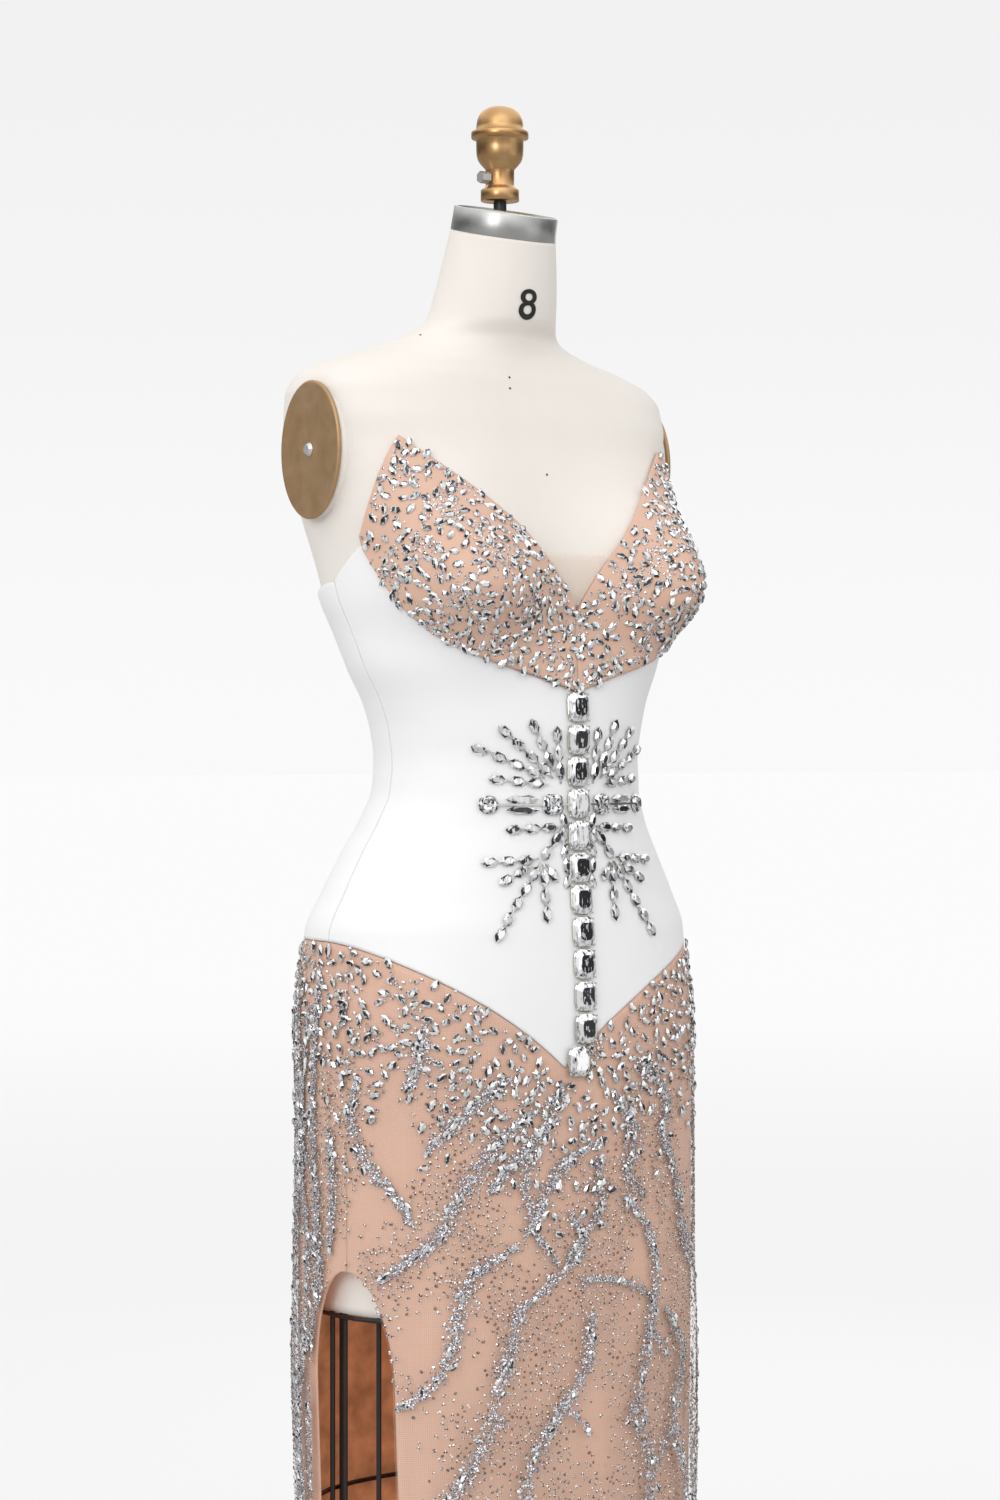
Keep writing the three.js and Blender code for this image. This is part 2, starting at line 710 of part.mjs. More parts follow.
// Pole and round base
const poleFoot = baseThickness + baseHub.height;
const pole = new THREE.CylinderGeometry(poleRadius, poleRadius, formBottom - 2 * seamGap - poleFoot, 24);
pole.rotateX(Math.PI / 2);
pole.translate(0, 0, (formBottom + poleFoot) / 2);
addPiece('stand_pole', pole, blackIron);
const baseProfile = [[0, 0], [baseRadius - baseEdge.soft, 0], [baseRadius, baseEdge.soft]];
baseProfile.push([baseRadius, baseThickness - baseEdge.shoulder], [baseRadius - baseEdge.slope, baseThickness]);
baseProfile.push([baseHub.wide, baseThickness + baseHub.rise], [baseHub.top, poleFoot - seamGap]);
baseProfile.push([0, poleFoot - seamGap]);
addPiece('stand_base', turned(baseProfile, 28), blackIron);

// Closure at the centre back: the chain between the panels, its slider and the hinged tab
const zipRows = 8;
const zipSide = (distance) => (share, row) => {
  const z = mix(zipFoot, backNeckline - 1, row / zipRows);
  const shift = (share - 0.5) * (zipWidth - seamGap);
  const point = offsetPoint(bodyPoint, Math.PI, z, distance);
  point.x = -shift;
  return point;
};
const zipWall = wallGeometry(1, zipRows, zipSide(bodiceWall - zipInset), zipSide(zipInset));
addPiece('zip_chain', zipWall, whitePlastic);

const sliderSeat = offsetPoint(bodyPoint, Math.PI, sliderLevel, bodiceWall);
const pivot = new THREE.Vector3(0, sliderSeat.y + slider.far + pivotLift, sliderLevel);

// The slider's side view, with the eye that the tab hangs in
function sliderGeometry() {
  const block = new THREE.BoxGeometry(2 * slider.half, slider.far - slider.near, slider.high - slider.low);
  block.translate(0, sliderSeat.y + (slider.near + slider.far) / 2, sliderLevel);
  const arch = new THREE.Shape();
  arch.moveTo(-bail.foot, 0);
  arch.lineTo(bail.foot, 0);
  arch.lineTo(bail.top, bail.height);
  arch.lineTo(-bail.top, bail.height);
  arch.closePath();
  const eye = new THREE.Path();
  eye.absarc(0, bail.eyeHeight, bail.eyeRadius, 0, 2 * Math.PI, true);
  arch.holes.push(eye);
  const loop = new THREE.ExtrudeGeometry(arch, { depth: bail.depth, bevelEnabled: false, curveSegments: 6 });
  loop.translate(0, 0, -bail.depth / 2);
  loop.rotateY(Math.PI / 2);
  loop.translate(0, sliderSeat.y + slider.far - bail.sink, sliderLevel);
  return joined([block, loop]);
}
addPiece('zip_slider', sliderGeometry(), steel);

// The tab: a long plate with a window whose top bar runs through the slider's eye
function tabGeometry() {
  const plate = new THREE.Shape();
  plate.moveTo(-tab.half, tab.top);
  plate.lineTo(-tab.half, tab.shoulder);
  plate.lineTo(-tab.endHalf, tab.end);
  plate.lineTo(tab.endHalf, tab.end);
  plate.lineTo(tab.half, tab.shoulder);
  plate.lineTo(tab.half, tab.top);
  plate.closePath();
  const window = new THREE.Path();
  window.moveTo(-tabWindow.half, tabWindow.top);
  window.lineTo(tabWindow.half, tabWindow.top);
  window.lineTo(tabWindow.half, tabWindow.end);
  window.lineTo(-tabWindow.half, tabWindow.end);
  window.closePath();
  plate.holes.push(window);
  const solid = new THREE.ExtrudeGeometry(plate, { depth: tab.thickness, bevelEnabled: false });
  solid.translate(0, 0, -tab.thickness / 2);
  solid.rotateX(Math.PI / 2);
  solid.translate(pivot.x, pivot.y, pivot.z);
  return solid;
}
addPiece('zip_tab', tabGeometry(), steel);

// Turn of the body's front surface at a distance across from the centre front
const frontReach = 85;

function turnAcross(x, z) {
  let low = -frontReach * degrees;
  let high = frontReach * degrees;
  for (let step = 0; step < 30; step += 1) {
    const middle = (low + high) / 2;
    if (bodyPoint(middle, z).x < x) {
      low = middle;
    } else {
      high = middle;
    }
  }
  return (low + high) / 2;
}

const jewelGap = 0.9;
const backingWall = 1.1;
const stoneSink = 0.5;
const jewelFoot = bodiceWall + jewelGap;
const stoneFoot = jewelFoot + backingWall - stoneSink;

function onBodice({ x, z }, distance) {
  return offsetPoint(bodyPoint, turnAcross(x, z), z, distance);
}

// Places flat outline points of a stone on the bodice, square to the cloth at its centre
function stoneFrame(x, z, angle) {
  const turn = turnAcross(x, z);
  const seat = offsetPoint(bodyPoint, turn, z, stoneFoot);
  const outward = offsetPoint(bodyPoint, turn, z, stoneFoot + 1).sub(seat).normalize();
  const across = new THREE.Vector3(0, 0, 1).cross(outward).normalize();
  const up = outward.clone().cross(across);
  const along = across.clone().multiplyScalar(Math.cos(angle)).addScaledVector(up, Math.sin(angle));
  const beside = outward.clone().cross(along);
  return (u, v, w) => seat.clone()
    .addScaledVector(along, u)
    .addScaledVector(beside, v)
    .addScaledVector(outward, w);
}

// A stone in its setting: rings of an outline, each with its scale and its rise off the cloth
function stoneGeometry({ x, z, angle = 0, length, width, outline, layers }) {
  const place = stoneFrame(x, z, angle);
  return loftGeometry(layers.map(([scale, rise]) => outline.map(
    ([u, v]) => place(u * scale * length * 0.5, v * scale * width * 0.5, rise),
  )));
}

// Scale and rise of the rings: a deep square-cut stone and a low pointed one
const deepStone = [[1, 0], [1, 3.1], [0.62, 5.6]];
const lowStone = [[1, 0], [0.5, 4.4]];

// A row of stones on the cloth as one body: cross-sections along a path given across and up
function beadedGeometry(along, sections) {
  return loftGeometry(sections.map(({ at, half, profile, lift = 0 }) => {
    const centre = onBodice(along(at), jewelFoot);
    const outward = onBodice(along(at), jewelFoot + 1).sub(centre).normalize();
    const ahead = onBodice(along(at + 0.5), jewelFoot).sub(onBodice(along(at - 0.5), jewelFoot));
    const across = outward.clone().cross(ahead).normalize();
    return profile.map(([share, rise]) => centre.clone()
      .addScaledVector(across, share * half)
      .addScaledVector(outward, rise + lift));
  }));
}
const octagon = [[1, -0.55], [1, 0.55], [0.6, 1], [-0.6, 1], [-1, 0.55], [-1, -0.55], [-0.6, -1], [0.6, -1]];
const leaf = [[1, 0], [0.4, 0.9], [-0.4, 0.9], [-1, 0], [-0.4, -0.9], [0.4, -0.9]];
const round = Array.from({ length: 8 }, (unused, step) => {
  const angle = (step / 8) * 2 * Math.PI;
  return [Math.cos(angle), Math.sin(angle)];
});

// A narrow backing that follows the cloth along a path given across and up
function backingGeometry(pathPlace, steps, halfWidth) {
  const side = (distance) => (share, row) => {
    const here = pathPlace(row / steps);
    const ahead = pathPlace(Math.min(row / steps + 0.01, 1));
    const behind = pathPlace(Math.max(row / steps - 0.01, 0));
    const length = Math.hypot(ahead.x - behind.x, ahead.z - behind.z);
    const shift = (share - 0.5) * 2 * halfWidth;
    const x = here.x + (shift * (ahead.z - behind.z)) / length;
    const z = here.z - (shift * (ahead.x - behind.x)) / length;
    return offsetPoint(bodyPoint, turnAcross(x, z), z, distance);
  };
  return wallGeometry(1, steps, side(jewelFoot + backingWall), side(jewelFoot));
}

const columnTop = 1131.9;
const columnPitch = 27.6;
const columnCount = 12;
const columnBend = { from: 860, across: -9, drop: 34, lifts: [2.6, 1.3] };
const columnStone = { halfWidth: 11, halfHeight: 12.5, corner: 3, cornerHalf: 7.4 };
const stoneRise = { girdle: 3.6, edge: 3.8, top: 6, table: 0.66 };
const barLevel = 1048;

// Column of large square-cut stones down the centre front
const columnEnd = columnTop - columnPitch * (columnCount - 1);
const girdleProfile = (top) => [
  [-1, 0], [1, 0], [1, Math.min(stoneRise.girdle, top)], [stoneRise.table, top], [-stoneRise.table, top],
  [-1, Math.min(stoneRise.girdle, top)],
];
const columnSections = [];
for (let stone = 0; stone < columnCount; stone += 1) {
  const middle = columnEnd + stone * columnPitch;
  const lift = columnBend.lifts[stone] ?? 0;
  const { halfWidth, halfHeight, corner, cornerHalf } = columnStone;
  const edge = girdleProfile(stoneRise.edge);
  const crown = girdleProfile(stoneRise.top);
  columnSections.push(
    { at: middle - halfHeight, half: cornerHalf, profile: edge, lift },
    { at: middle - halfHeight + corner, half: halfWidth, profile: crown, lift },
    { at: middle + halfHeight - corner, half: halfWidth, profile: crown, lift },
    { at: middle + halfHeight, half: cornerHalf, profile: edge, lift },
  );
}
// The column bends to the seam's point, and its last stones lie over the seam
const columnPath = (z) => ({ x: columnBend.across * smooth((columnBend.from - z) / columnBend.drop), z });
addPiece('jewel_column', beadedGeometry(columnPath, columnSections), crystal);

// Stones of the cross bar, from the column outwards
const barStones = [
  { x: 26, lift: 0, length: 19, width: 18, outline: octagon, layers: deepStone },
  { x: 53, lift: -4.6, length: 28, width: 8.6, outline: leaf, layers: lowStone },
  { x: 53, lift: 4.6, length: 28, width: 8.6, outline: leaf, layers: lowStone },
  { x: 79, lift: 0, length: 17, width: 16, outline: round, layers: deepStone },
];

// Twigs of pointed stones: root across and up, slant in degrees, first stone and count
const twigStone = { halfLength: 7.5, halfWidth: 4.6, stemHalf: 1.3, stemRise: 1.6, rise: 4.8 };
const leafProfile = (rise) => [[-1, 0], [1, 0], [0.5, rise], [-0.5, rise]];
const twigPitch = 15.5;
const sprays = {
  upper: [
    { x: 17, z: 1064, slant: 84, first: 13, stones: 3 },
    { x: 17, z: 1064, slant: 63, first: 26, stones: 3 },
    { x: 17, z: 1064, slant: 43, first: 22, stones: 4 },
    { x: 17, z: 1064, slant: 25, first: 28, stones: 4 },
    { x: 17, z: 1064, slant: 6, first: 24, stones: 3 },
  ],
  lower: [
    { x: 16, z: 1029, slant: -3, first: 14, stones: 3 },
    { x: 16, z: 1029, slant: -52, first: 13, stones: 2 },
    { x: 37, z: 1002, slant: -4, first: 16, stones: 3 },
    { x: 37, z: 1002, slant: -28, first: 24, stones: 2 },
    { x: 37, z: 1002, slant: -55, first: 16, stones: 5 },
    { x: 37, z: 1002, slant: -90, first: 17, stones: 3 },
    { x: 37, z: 1002, slant: -122, first: 17, stones: 1 },
  ],
};
const barBacking = { start: 13, end: 80, halfWidth: 3, steps: 8 };
for (const [name, side] of [['right', -1], ['left', 1]]) {
  const barPath = (s) => ({ x: side * mix(barBacking.start, barBacking.end, s), z: barLevel });
  const barParts = [backingGeometry(barPath, barBacking.steps, barBacking.halfWidth)];
  for (const stone of barStones) {
    barParts.push(stoneGeometry({ ...stone, x: side * stone.x, z: barLevel + stone.lift }));
  }
  addPiece(`jewel_bar_${name}`, joined(barParts), crystal);
  for (const [place, twigs] of Object.entries(sprays)) {
    const parts = [];
    for (const twig of twigs) {
      const slant = twig.slant * degrees;
      const along = (distance) => ({
        x: side * (twig.x + distance * Math.cos(slant)),
        z: twig.z + distance * Math.sin(slant),
      });
      const stem = { half: twigStone.stemHalf, profile: leafProfile(twigStone.stemRise) };
      const sections = [{ at: 0, ...stem }, { at: twig.first - twigStone.halfLength, ...stem }];
      for (let stone = 0; stone < twig.stones; stone += 1) {
        const middle = twig.first + stone * twigPitch;
        const end = stone === twig.stones - 1 ? twigStone.halfLength : twigPitch / 2;
        sections.push({ at: middle, half: twigStone.halfWidth, profile: leafProfile(twigStone.rise) });
        sections.push({ at: middle + end, ...stem });
      }
      parts.push(beadedGeometry(along, sections));
    }
    addPiece(`jewel_spray_${place}_${name}`, joined(parts), crystal);
  }
}

export default group;
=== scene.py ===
"""Dresses a strapless evening gown on its limbless dress form: cloth, stones, sequins, hardware and studio.

Lengths are millimetres, as on a pattern sheet, and new_object turns them to metres.
A place on the gown is a turn round the body, in radians from the centre front and positive to the
wearer's left, and a level above the floor.
"""
import logging
import math
from collections.abc import Callable, Sequence
from dataclasses import dataclass, field
from enum import Enum

import bpy
import numpy as np
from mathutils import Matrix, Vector


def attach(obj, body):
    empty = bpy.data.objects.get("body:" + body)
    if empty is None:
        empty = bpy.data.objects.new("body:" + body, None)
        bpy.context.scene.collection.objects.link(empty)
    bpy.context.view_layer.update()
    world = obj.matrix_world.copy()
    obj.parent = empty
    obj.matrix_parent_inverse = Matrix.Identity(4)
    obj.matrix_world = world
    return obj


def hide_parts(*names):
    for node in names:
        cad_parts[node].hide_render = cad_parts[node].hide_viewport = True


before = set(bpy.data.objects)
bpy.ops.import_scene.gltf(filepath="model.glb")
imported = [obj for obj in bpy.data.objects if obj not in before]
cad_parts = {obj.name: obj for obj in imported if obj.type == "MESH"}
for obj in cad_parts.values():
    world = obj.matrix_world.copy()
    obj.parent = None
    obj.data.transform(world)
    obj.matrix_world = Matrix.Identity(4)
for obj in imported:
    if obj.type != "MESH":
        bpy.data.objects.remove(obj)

MM = 0.001
DEGREE = math.pi / 180
GOLDEN = 0.6180339887
FACET_SPREAD = 7.31
STONE_SPREAD = 13.7
FOLD_FADE = 240
MEAN_RADIUS = 170.0
MM_PER_DEGREE = 3.2
TURN_STEP = 0.002
LEVEL_STEP = 0.4
WHITE = (1.0, 1.0, 1.0)
FORM_BODY = "gown_and_form"

Array = np.ndarray
Thing = bpy.types.Object
Node = bpy.types.Node
Socket = bpy.types.NodeSocket
NodeTree = bpy.types.NodeTree
Material = bpy.types.Material
Colour = tuple[float, float, float]
Surface = Callable[[Array, Array], Array]
Edge = Callable[[Array], Array]
log = logging.getLogger("gown")


class Panel(Enum):
    """The skirt's three panels, which are named alike in lining and net."""

    FRONT = "front"
    BACK_LEFT = "back_left"
    BACK_RIGHT = "back_right"


class Side(Enum):
    """The wearer's two sides, with the sign of X on each."""

    RIGHT = -1
    LEFT = 1

    @property
    def word(self) -> str:
        """The side's name as the pieces carry it."""
        return self.name.lower()


def smooth(value: Array | float) -> Array:
    """Soft step from 0 to 1, level at both ends."""
    s = np.clip(value, 0.0, 1.0)
    return s * s * (3 - 2 * s)


def mix(a: Array | float, b: Array | float, share: Array | float) -> Array:
    """Straight blend from a to b."""
    return a + (b - a) * share


def unit(vectors: Array) -> Array:
    """Vectors of length one."""
    return vectors / np.maximum(np.linalg.norm(vectors, axis=-1, keepdims=True), 1e-12)


class LevelTable:
    """A short table of sections, one row a level, read by a smooth curve between its rows."""

    def __init__(self, columns: str, rows: Sequence[Sequence[float]]) -> None:
        """Keeps the rows and works out each column's slope at each level.

        Args:
            columns: Names of the columns after the level, parted by blanks.
            rows: The level and the columns' values, from the lowest level up.
        """
        data = np.array(rows, float)
        self.levels = data[:, 0]
        self.values = {name: data[:, i + 1] for i, name in enumerate(columns.split())}
        self.slopes = {name: self._slopes(values) for name, values in self.values.items()}

    def _slopes(self, values: Array) -> Array:
        """Slope of the curve at each row, level where the values turn back.

        Args:
            values: A column's values.

        Returns:
            The slope at each row.
        """
        steps = np.diff(values) / np.diff(self.levels)
        before, after = steps[:-1], steps[1:]
        product = before * after
        total = np.where(np.abs(before + after) < 1e-9, 1.0, before + after)
        inner = np.where(product <= 0, 0.0, 2 * product / total)
        return np.concatenate([steps[:1], inner, steps[-1:]])

    def read(self, level: Array, column: str) -> Array:
        """Value of a column at some levels.

        Args:
            level: Levels above the floor.
            column: Name of the column.

        Returns:
            The column's value at each level.
        """
        values, slopes = self.values[column], self.slopes[column]
        z = np.clip(level, self.levels[0], self.levels[-1])
        i = np.clip(np.searchsorted(self.levels, z) - 1, 0, len(self.levels) - 2)
        span = self.levels[i + 1] - self.levels[i]
        s = (z - self.levels[i]) / span
        rise = values[i + 1] - values[i]
        start = slopes[i] * span - rise
        end = rise - slopes[i + 1] * span
        return values[i] + s * rise + s * (1 - s) * ((1 - s) * start + s * end)


SECTION_COLUMNS = "wide front back side power"
FORM_SECTIONS = LevelTable(SECTION_COLUMNS, [
    (600, 172, -112, 124, 6, 2.4), (700, 178, -117, 130, 6, 2.4), (800, 181, -119, 133, 6, 2.4),
    (870, 181, -119, 132, 6, 2.35), (937, 178.5, -116, 128, 5, 2.3), (969, 166, -113, 121, 2, 2.2),
    (1005, 148, -111, 112, 0, 2.1), (1033, 134, -110, 103, -5, 2), (1060, 124.5, -109, 93, -9, 2),
    (1083, 123, -108.5, 90, -10, 2), (1111, 126.5, -109.5, 92, -10, 2), (1136, 134, -108, 96, -9, 2),
    (1168, 149, -104, 105, -5, 2), (1196, 156, -95, 114, 3, 2.05), (1228, 165, -92, 121, 12, 2.15),
    (1270, 170, -83, 127, 20, 2.3), (1310, 175, -70, 130, 25, 2.6), (1340, 178, -62, 131, 29, 2.9),
    (1361, 179.6, -56, 131, 29, 3.1), (1385, 179.6, -50, 130, 27, 3.6), (1405, 179, -43, 127, 29, 3.6),
    (1420, 174, -38, 125, 36, 3.1), (1432, 157, -33, 122, 44, 2.6), (1445, 119, -30, 117, 43, 2),
    (1458, 82, -32, 98, 33, 1.8), (1474, 59, -44, 73, 15, 2), (1499, 54.5, -48, 61, 6.6, 2),
    (1526, 50.5, -50, 50, 0, 2), (1552, 46.5, -51.5, 41.5, -5, 2),
])
SKIRT_SECTIONS = LevelTable(SECTION_COLUMNS, [
    (20, 192, -139, 137, 2, 2.25), (200, 185, -130, 131, 3, 2.3), (431, 180, -121, 126, 5, 2.35),
    (560, 183, -121, 130, 6, 2.4), (640, 185, -122, 130, 5, 2.35), (785, 185.5, -122, 129, 5, 2.35),
    (870, 185, -121.5, 132, 6, 2.35), (940, 181, -118, 130, 5, 2.3),
])
NET_SECTIONS = LevelTable("out", [(20, 7), (431, 6.5), (560, 5), (640, 2.8), (800, 1.8), (940, 1)])


@dataclass(frozen=True)
class Fold:
    """A soft upright fold of the net, which dies out upwards."""

    turn: float
    width: float
    depth: float
    top: float

    def height(self, degrees: Array, level: Array) -> Array:
        """How far the fold lifts the net at some places."""
        away = (degrees - self.turn) / self.width
        return self.depth * np.exp(-away * away) * smooth((self.top - level) / FOLD_FADE)


NET_FOLDS = (
    Fold(-41, 6, 5, 600), Fold(-28, 6, 7, 640), Fold(-15, 5, 4, 520), Fold(14, 6, 4, 480),
    Fold(37, 7, 5, 560), Fold(128, 8, 5, 520), Fold(152, 8, 6, 600), Fold(-128, 8, 5, 560),
    Fold(-150, 8, 6, 500),
)


@dataclass(frozen=True)
class Crease:
    """A soft ridge, or a trough where its depth is below nought, laid on a panel."""

    turn: float
    level: float
    reach: float
    width: float
    depth: float
    slant: float = 0.0
    per_degree: float = 3.1

    def height(self, degrees: Array, level: Array) -> Array:
        """How far the crease lifts the cloth at some places.

        Args:
            degrees: Turns in degrees.
            level: Levels above the floor.

        Returns:
            The lift at each place.
        """
        across = (degrees - self.turn) * self.per_degree
        up = level - self.level
        sine, cosine = math.sin(self.slant * DEGREE), math.cos(self.slant * DEGREE)
        along = up * cosine + across * sine
        beside = across * cosine - up * sine
        return self.depth * np.exp(-((beside / self.width) ** 2) - (along / self.reach) ** 4)


@dataclass(frozen=True)
class GownShape:
    """Driving sizes of form and gown, and the surfaces and cutting lines that they give."""

    hem: float = 22.0
    hip_side: float = 930.0
    hip_point: float = 822.0
    hip_point_turn: float = -6.5
    hip_spread: float = 90.0
    hip_bend: float = 2.3
    cup_foot: float = 1145.0
    cup_notch: float = 1212.0
    cup_tip: float = 1363.0
    cup_corner: float = 1271.0
    cup_bend: float = 0.8
    cup_slope: float = 0.45
    cup_foot_bend: float = 7.0
    cup_end_rise: float = 4.0
    under_cup_gap: float = 0.3
    back_spread: float = 60.0
    skirt_leave: float = 70.0
    net_leave: float = 60.0
    net_seam_out: float = 0.9
    back_neckline: float = 1215.0
    side_neckline: float = 1240.0
    tip_turn: float = 44.0
    corner_turn: float = 69.0
    side_turn: float = 90.0
    skirt_side_turn: float = 76.0
    slit_top: float = 652.0
    slit_arch: float = 100.0
    slit_half_turn: float = 19.0
    slit_extra_turn: float = 4.0
    bust_turn: float = 34.0
    bust_spread: float = 24.0
    bust_level: float = 1240.0
    bust_below: float = 52.0
    bust_above: float = 75.0
    bust_depth: float = 62.0
    bust_outward: float = 0.25

    def section(self, table: LevelTable, turn: Array, level: Array) -> Array:
        """Points of a table's rounded-square sections.

        Args:
            table: The level sections.
            turn: Turns round the body.
            level: Levels above the floor.

        Returns:
            One point for each turn and level.
        """
        sine, cosine = np.sin(turn), np.cos(turn)
        side = table.read(level, "side")
        ahead = side - table.read(level, "front")
        behind = table.read(level, "back") - side
        depth = np.where(cosine > 0, ahead, behind)
        power = table.read(level, "power")
        reach = (np.abs(sine) ** power + np.abs(cosine) ** power) ** (-1 / power)
        x = table.read(level, "wide") * reach * sine
        return np.stack([x, side - depth * reach * cosine, level + 0 * x], axis=-1)

    def body(self, turn: Array, level: Array) -> Array:
        """The outside of the form, with its bust.

        Args:
            turn: Turns round the body.
            level: Levels above the floor.

        Returns:
            One point for each turn and level.
        """
        turn, level = np.broadcast_arrays(np.asarray(turn, float), np.asarray(level, float))
        points = self.section(FORM_SECTIONS, turn, level)
        reach = np.where(level < self.bust_level, self.bust_below, self.bust_above)
        height = np.exp(-(((level - self.bust_level) / reach) ** 2))
        for side in Side:
            away = (turn / DEGREE - side.value * self.bust_turn) / self.bust_spread
            push = self.bust_depth * height * np.exp(-away * away)
            points[..., 0] += side.value * self.bust_outward * push
            points[..., 1] -= math.sqrt(1 - self.bust_outward**2) * push
        return points

    def skirt(self, turn: Array, level: Array) -> Array:
        """The lining's own surface: it leaves the body just under the hip seam.

        Args:
            turn: Turns round the body.
            level: Levels above the floor.

        Returns:
            One point for each turn and level.
        """
        turn, level = np.broadcast_arrays(np.asarray(turn, float), np.asarray(level, float))
        share = smooth((self.hip_seam(turn) - level) / self.skirt_leave)[..., None]
        return mix(self.body(turn, level), self.section(SKIRT_SECTIONS, turn, level), share)

    def hip_seam(self, turn: Array) -> Array:
        """Level of the seam between bodice and skirt, a long point near the centre front."""
        share = np.minimum(np.abs(turn / DEGREE - self.hip_point_turn) / self.hip_spread, 1)
        return mix(self.hip_point, self.hip_side, 1 - (1 - share) ** self.hip_bend)

    def cup_lower(self, turn: Array) -> Array:
        """Level of the cups' lower edge.

        Args:
            turn: Turns round the body.

        Returns:
            The edge's level at each turn.
        """
        share = np.abs(turn) / (self.corner_turn * DEGREE)
        rise = self.cup_slope * share + (1 - self.cup_slope) * share**self.cup_foot_bend
        return mix(self.cup_foot, self.cup_corner, rise)

    def cup_upper(self, turn: Array) -> Array:
        """Level of the cups' upper edge, up to the tip and down again to the side.

        Args:
            turn: Turns round the body.

        Returns:
            The edge's level at each turn.
        """
        size, tip = np.abs(turn), self.tip_turn * DEGREE
        rising = mix(self.cup_notch, self.cup_tip, np.clip(size / tip, 0, 1) ** self.cup_bend)
        fall = (size - tip) / ((self.corner_turn - self.tip_turn) * DEGREE)
        return np.where(size < tip, rising, mix(self.cup_tip, self.cup_corner + self.cup_end_rise, fall))

    def bodice_upper(self, turn: Array) -> Array:
        """Level of the bodice's upper edge: under the cups, then down to the back neckline.

        Args:
            turn: Turns round the body.

        Returns:
            The edge's level at each turn.
        """
        size = np.abs(turn) / DEGREE
        under_arm = (size - self.corner_turn) / (self.side_turn - self.corner_turn)
        side = mix(self.cup_corner, self.side_neckline, under_arm)
        past_side = smooth((size - self.side_turn) / self.back_spread)
        back = mix(self.side_neckline, self.back_neckline, past_side)
        under_cup = self.cup_lower(np.minimum(size, self.corner_turn) * DEGREE) - self.under_cup_gap
        return np.where(size < self.corner_turn, under_cup, np.where(size < self.side_turn, side, back))

    def net_out(self, turn: Array, level: Array) -> Array:
        """How far the net stands off the lining, folds and all.

        Args:
            turn: Turns round the body.
            level: Levels above the floor.

        Returns:
            The distance at each place.
        """
        fallen = smooth((self.hip_seam(turn) - level) / self.net_leave)
        out = mix(self.net_seam_out, NET_SECTIONS.read(level, "out"), fallen)
        return out + sum(fold.height(turn / DEGREE, level) for fold in NET_FOLDS)

    def slit_half(self, level: Array, extra: float) -> Array:
        """Half the slit's width in radians at some levels.

        Args:
            level: Levels above the floor.
            extra: Degrees that the edge falls open further at the hem.

        Returns:
            The turn from the slit's middle to its edge.
        """
        down = np.clip((self.slit_top - level) / self.slit_arch, 0, 1)
        below = (self.slit_top - self.slit_arch - level) / (self.slit_top - self.slit_arch - self.hem)
        return (self.slit_half_turn * np.sqrt(1 - (1 - down) ** 2) + extra * smooth(below)) * DEGREE


SHAPE = GownShape()


def stand_off(surface: Surface, turn: Array, level: Array, distance: Array | float) -> tuple[Array, Array]:
    """Points at a distance out from a surface, along its own normals.

    Args:
        surface: The surface, given by turn and level.
        turn: Turns round the body.
        level: Levels above the floor.
        distance: How far out each point goes.

    Returns:
        The points and the surface's outward normals.
    """
    across = surface(turn + TURN_STEP, level) - surface(turn - TURN_STEP, level)
    up = surface(turn, level + LEVEL_STEP) - surface(turn, level - LEVEL_STEP)
    normal = unit(np.cross(across, up))
    return surface(turn, level) + normal * np.asarray(distance)[..., None], normal


def new_object(
    name: str, points: Array, faces: Sequence[Sequence[int]] | Array, rounded: bool = True,
) -> Thing:
    """A mesh object at the origin, its points turned from millimetres to metres.

    Args:
        name: The piece's name.
        points: Corner points in millimetres.
        faces: Corner numbers of each face.
        rounded: Whether its faces are shaded as one smooth surface.

    Returns:
        The object, linked to the scene.
    """
    mesh = bpy.data.meshes.new(name)
    rows = faces.tolist() if isinstance(faces, np.ndarray) else [list(face) for face in faces]
    mesh.from_pydata((np.asarray(points, float).reshape(-1, 3) * MM).tolist(), [], rows)
    mesh.polygons.foreach_set("use_smooth", [rounded] * len(mesh.polygons))
    mesh.update()
    thing = bpy.data.objects.new(name, mesh)
    bpy.context.scene.collection.objects.link(thing)
    return thing


def add_map(thing: Thing, places: Array) -> None:
    """Gives a mesh a UV map in metres along the cloth, from one place for each corner point.

    Args:
        thing: The mesh.
        places: Place along the cloth of each corner point.
    """
    layer = thing.data.uv_layers.new(name="cloth")
    corners = np.zeros(len(thing.data.loops), np.int32)
    thing.data.loops.foreach_get("vertex_index", corners)
    layer.data.foreach_set("uv", (places.reshape(-1, 2)[corners] * MM).astype(np.float32).ravel())


def add_value(
    thing: Thing, name: str, values: Array, kind: str = "FLOAT", domain: str = "POINT",
) -> None:
    """Stores a named attribute on a mesh.

    Args:
        thing: The mesh.
        name: The attribute's name.
        values: One number or vector for each element.
        kind: The attribute's data type.
        domain: What it is stored on.
    """
    attribute = thing.data.attributes.new(name, kind, domain)
    key = "vector" if kind == "FLOAT_VECTOR" else "value"
    attribute.data.foreach_set(key, np.asarray(values, np.float32).ravel())


def grid_faces(rows: int, columns: int, first: int = 0, flipped: bool = False) -> Array:
    """Corner numbers of a grid's quads, row by row.

    Args:
        rows: Quads up the grid.
        columns: Quads across the grid.
        first: Number of the grid's first point.
        flipped: Whether the faces look the other way.

    Returns:
        Four corner numbers for each quad.
    """
    low = first + np.arange(rows)[:, None] * (columns + 1) + np.arange(columns)[None, :]
    quads = np.stack([low, low + 1, low + columns + 2, low + columns + 1], axis=-1).reshape(-1, 4)
    return quads[:, ::-1] if flipped else quads


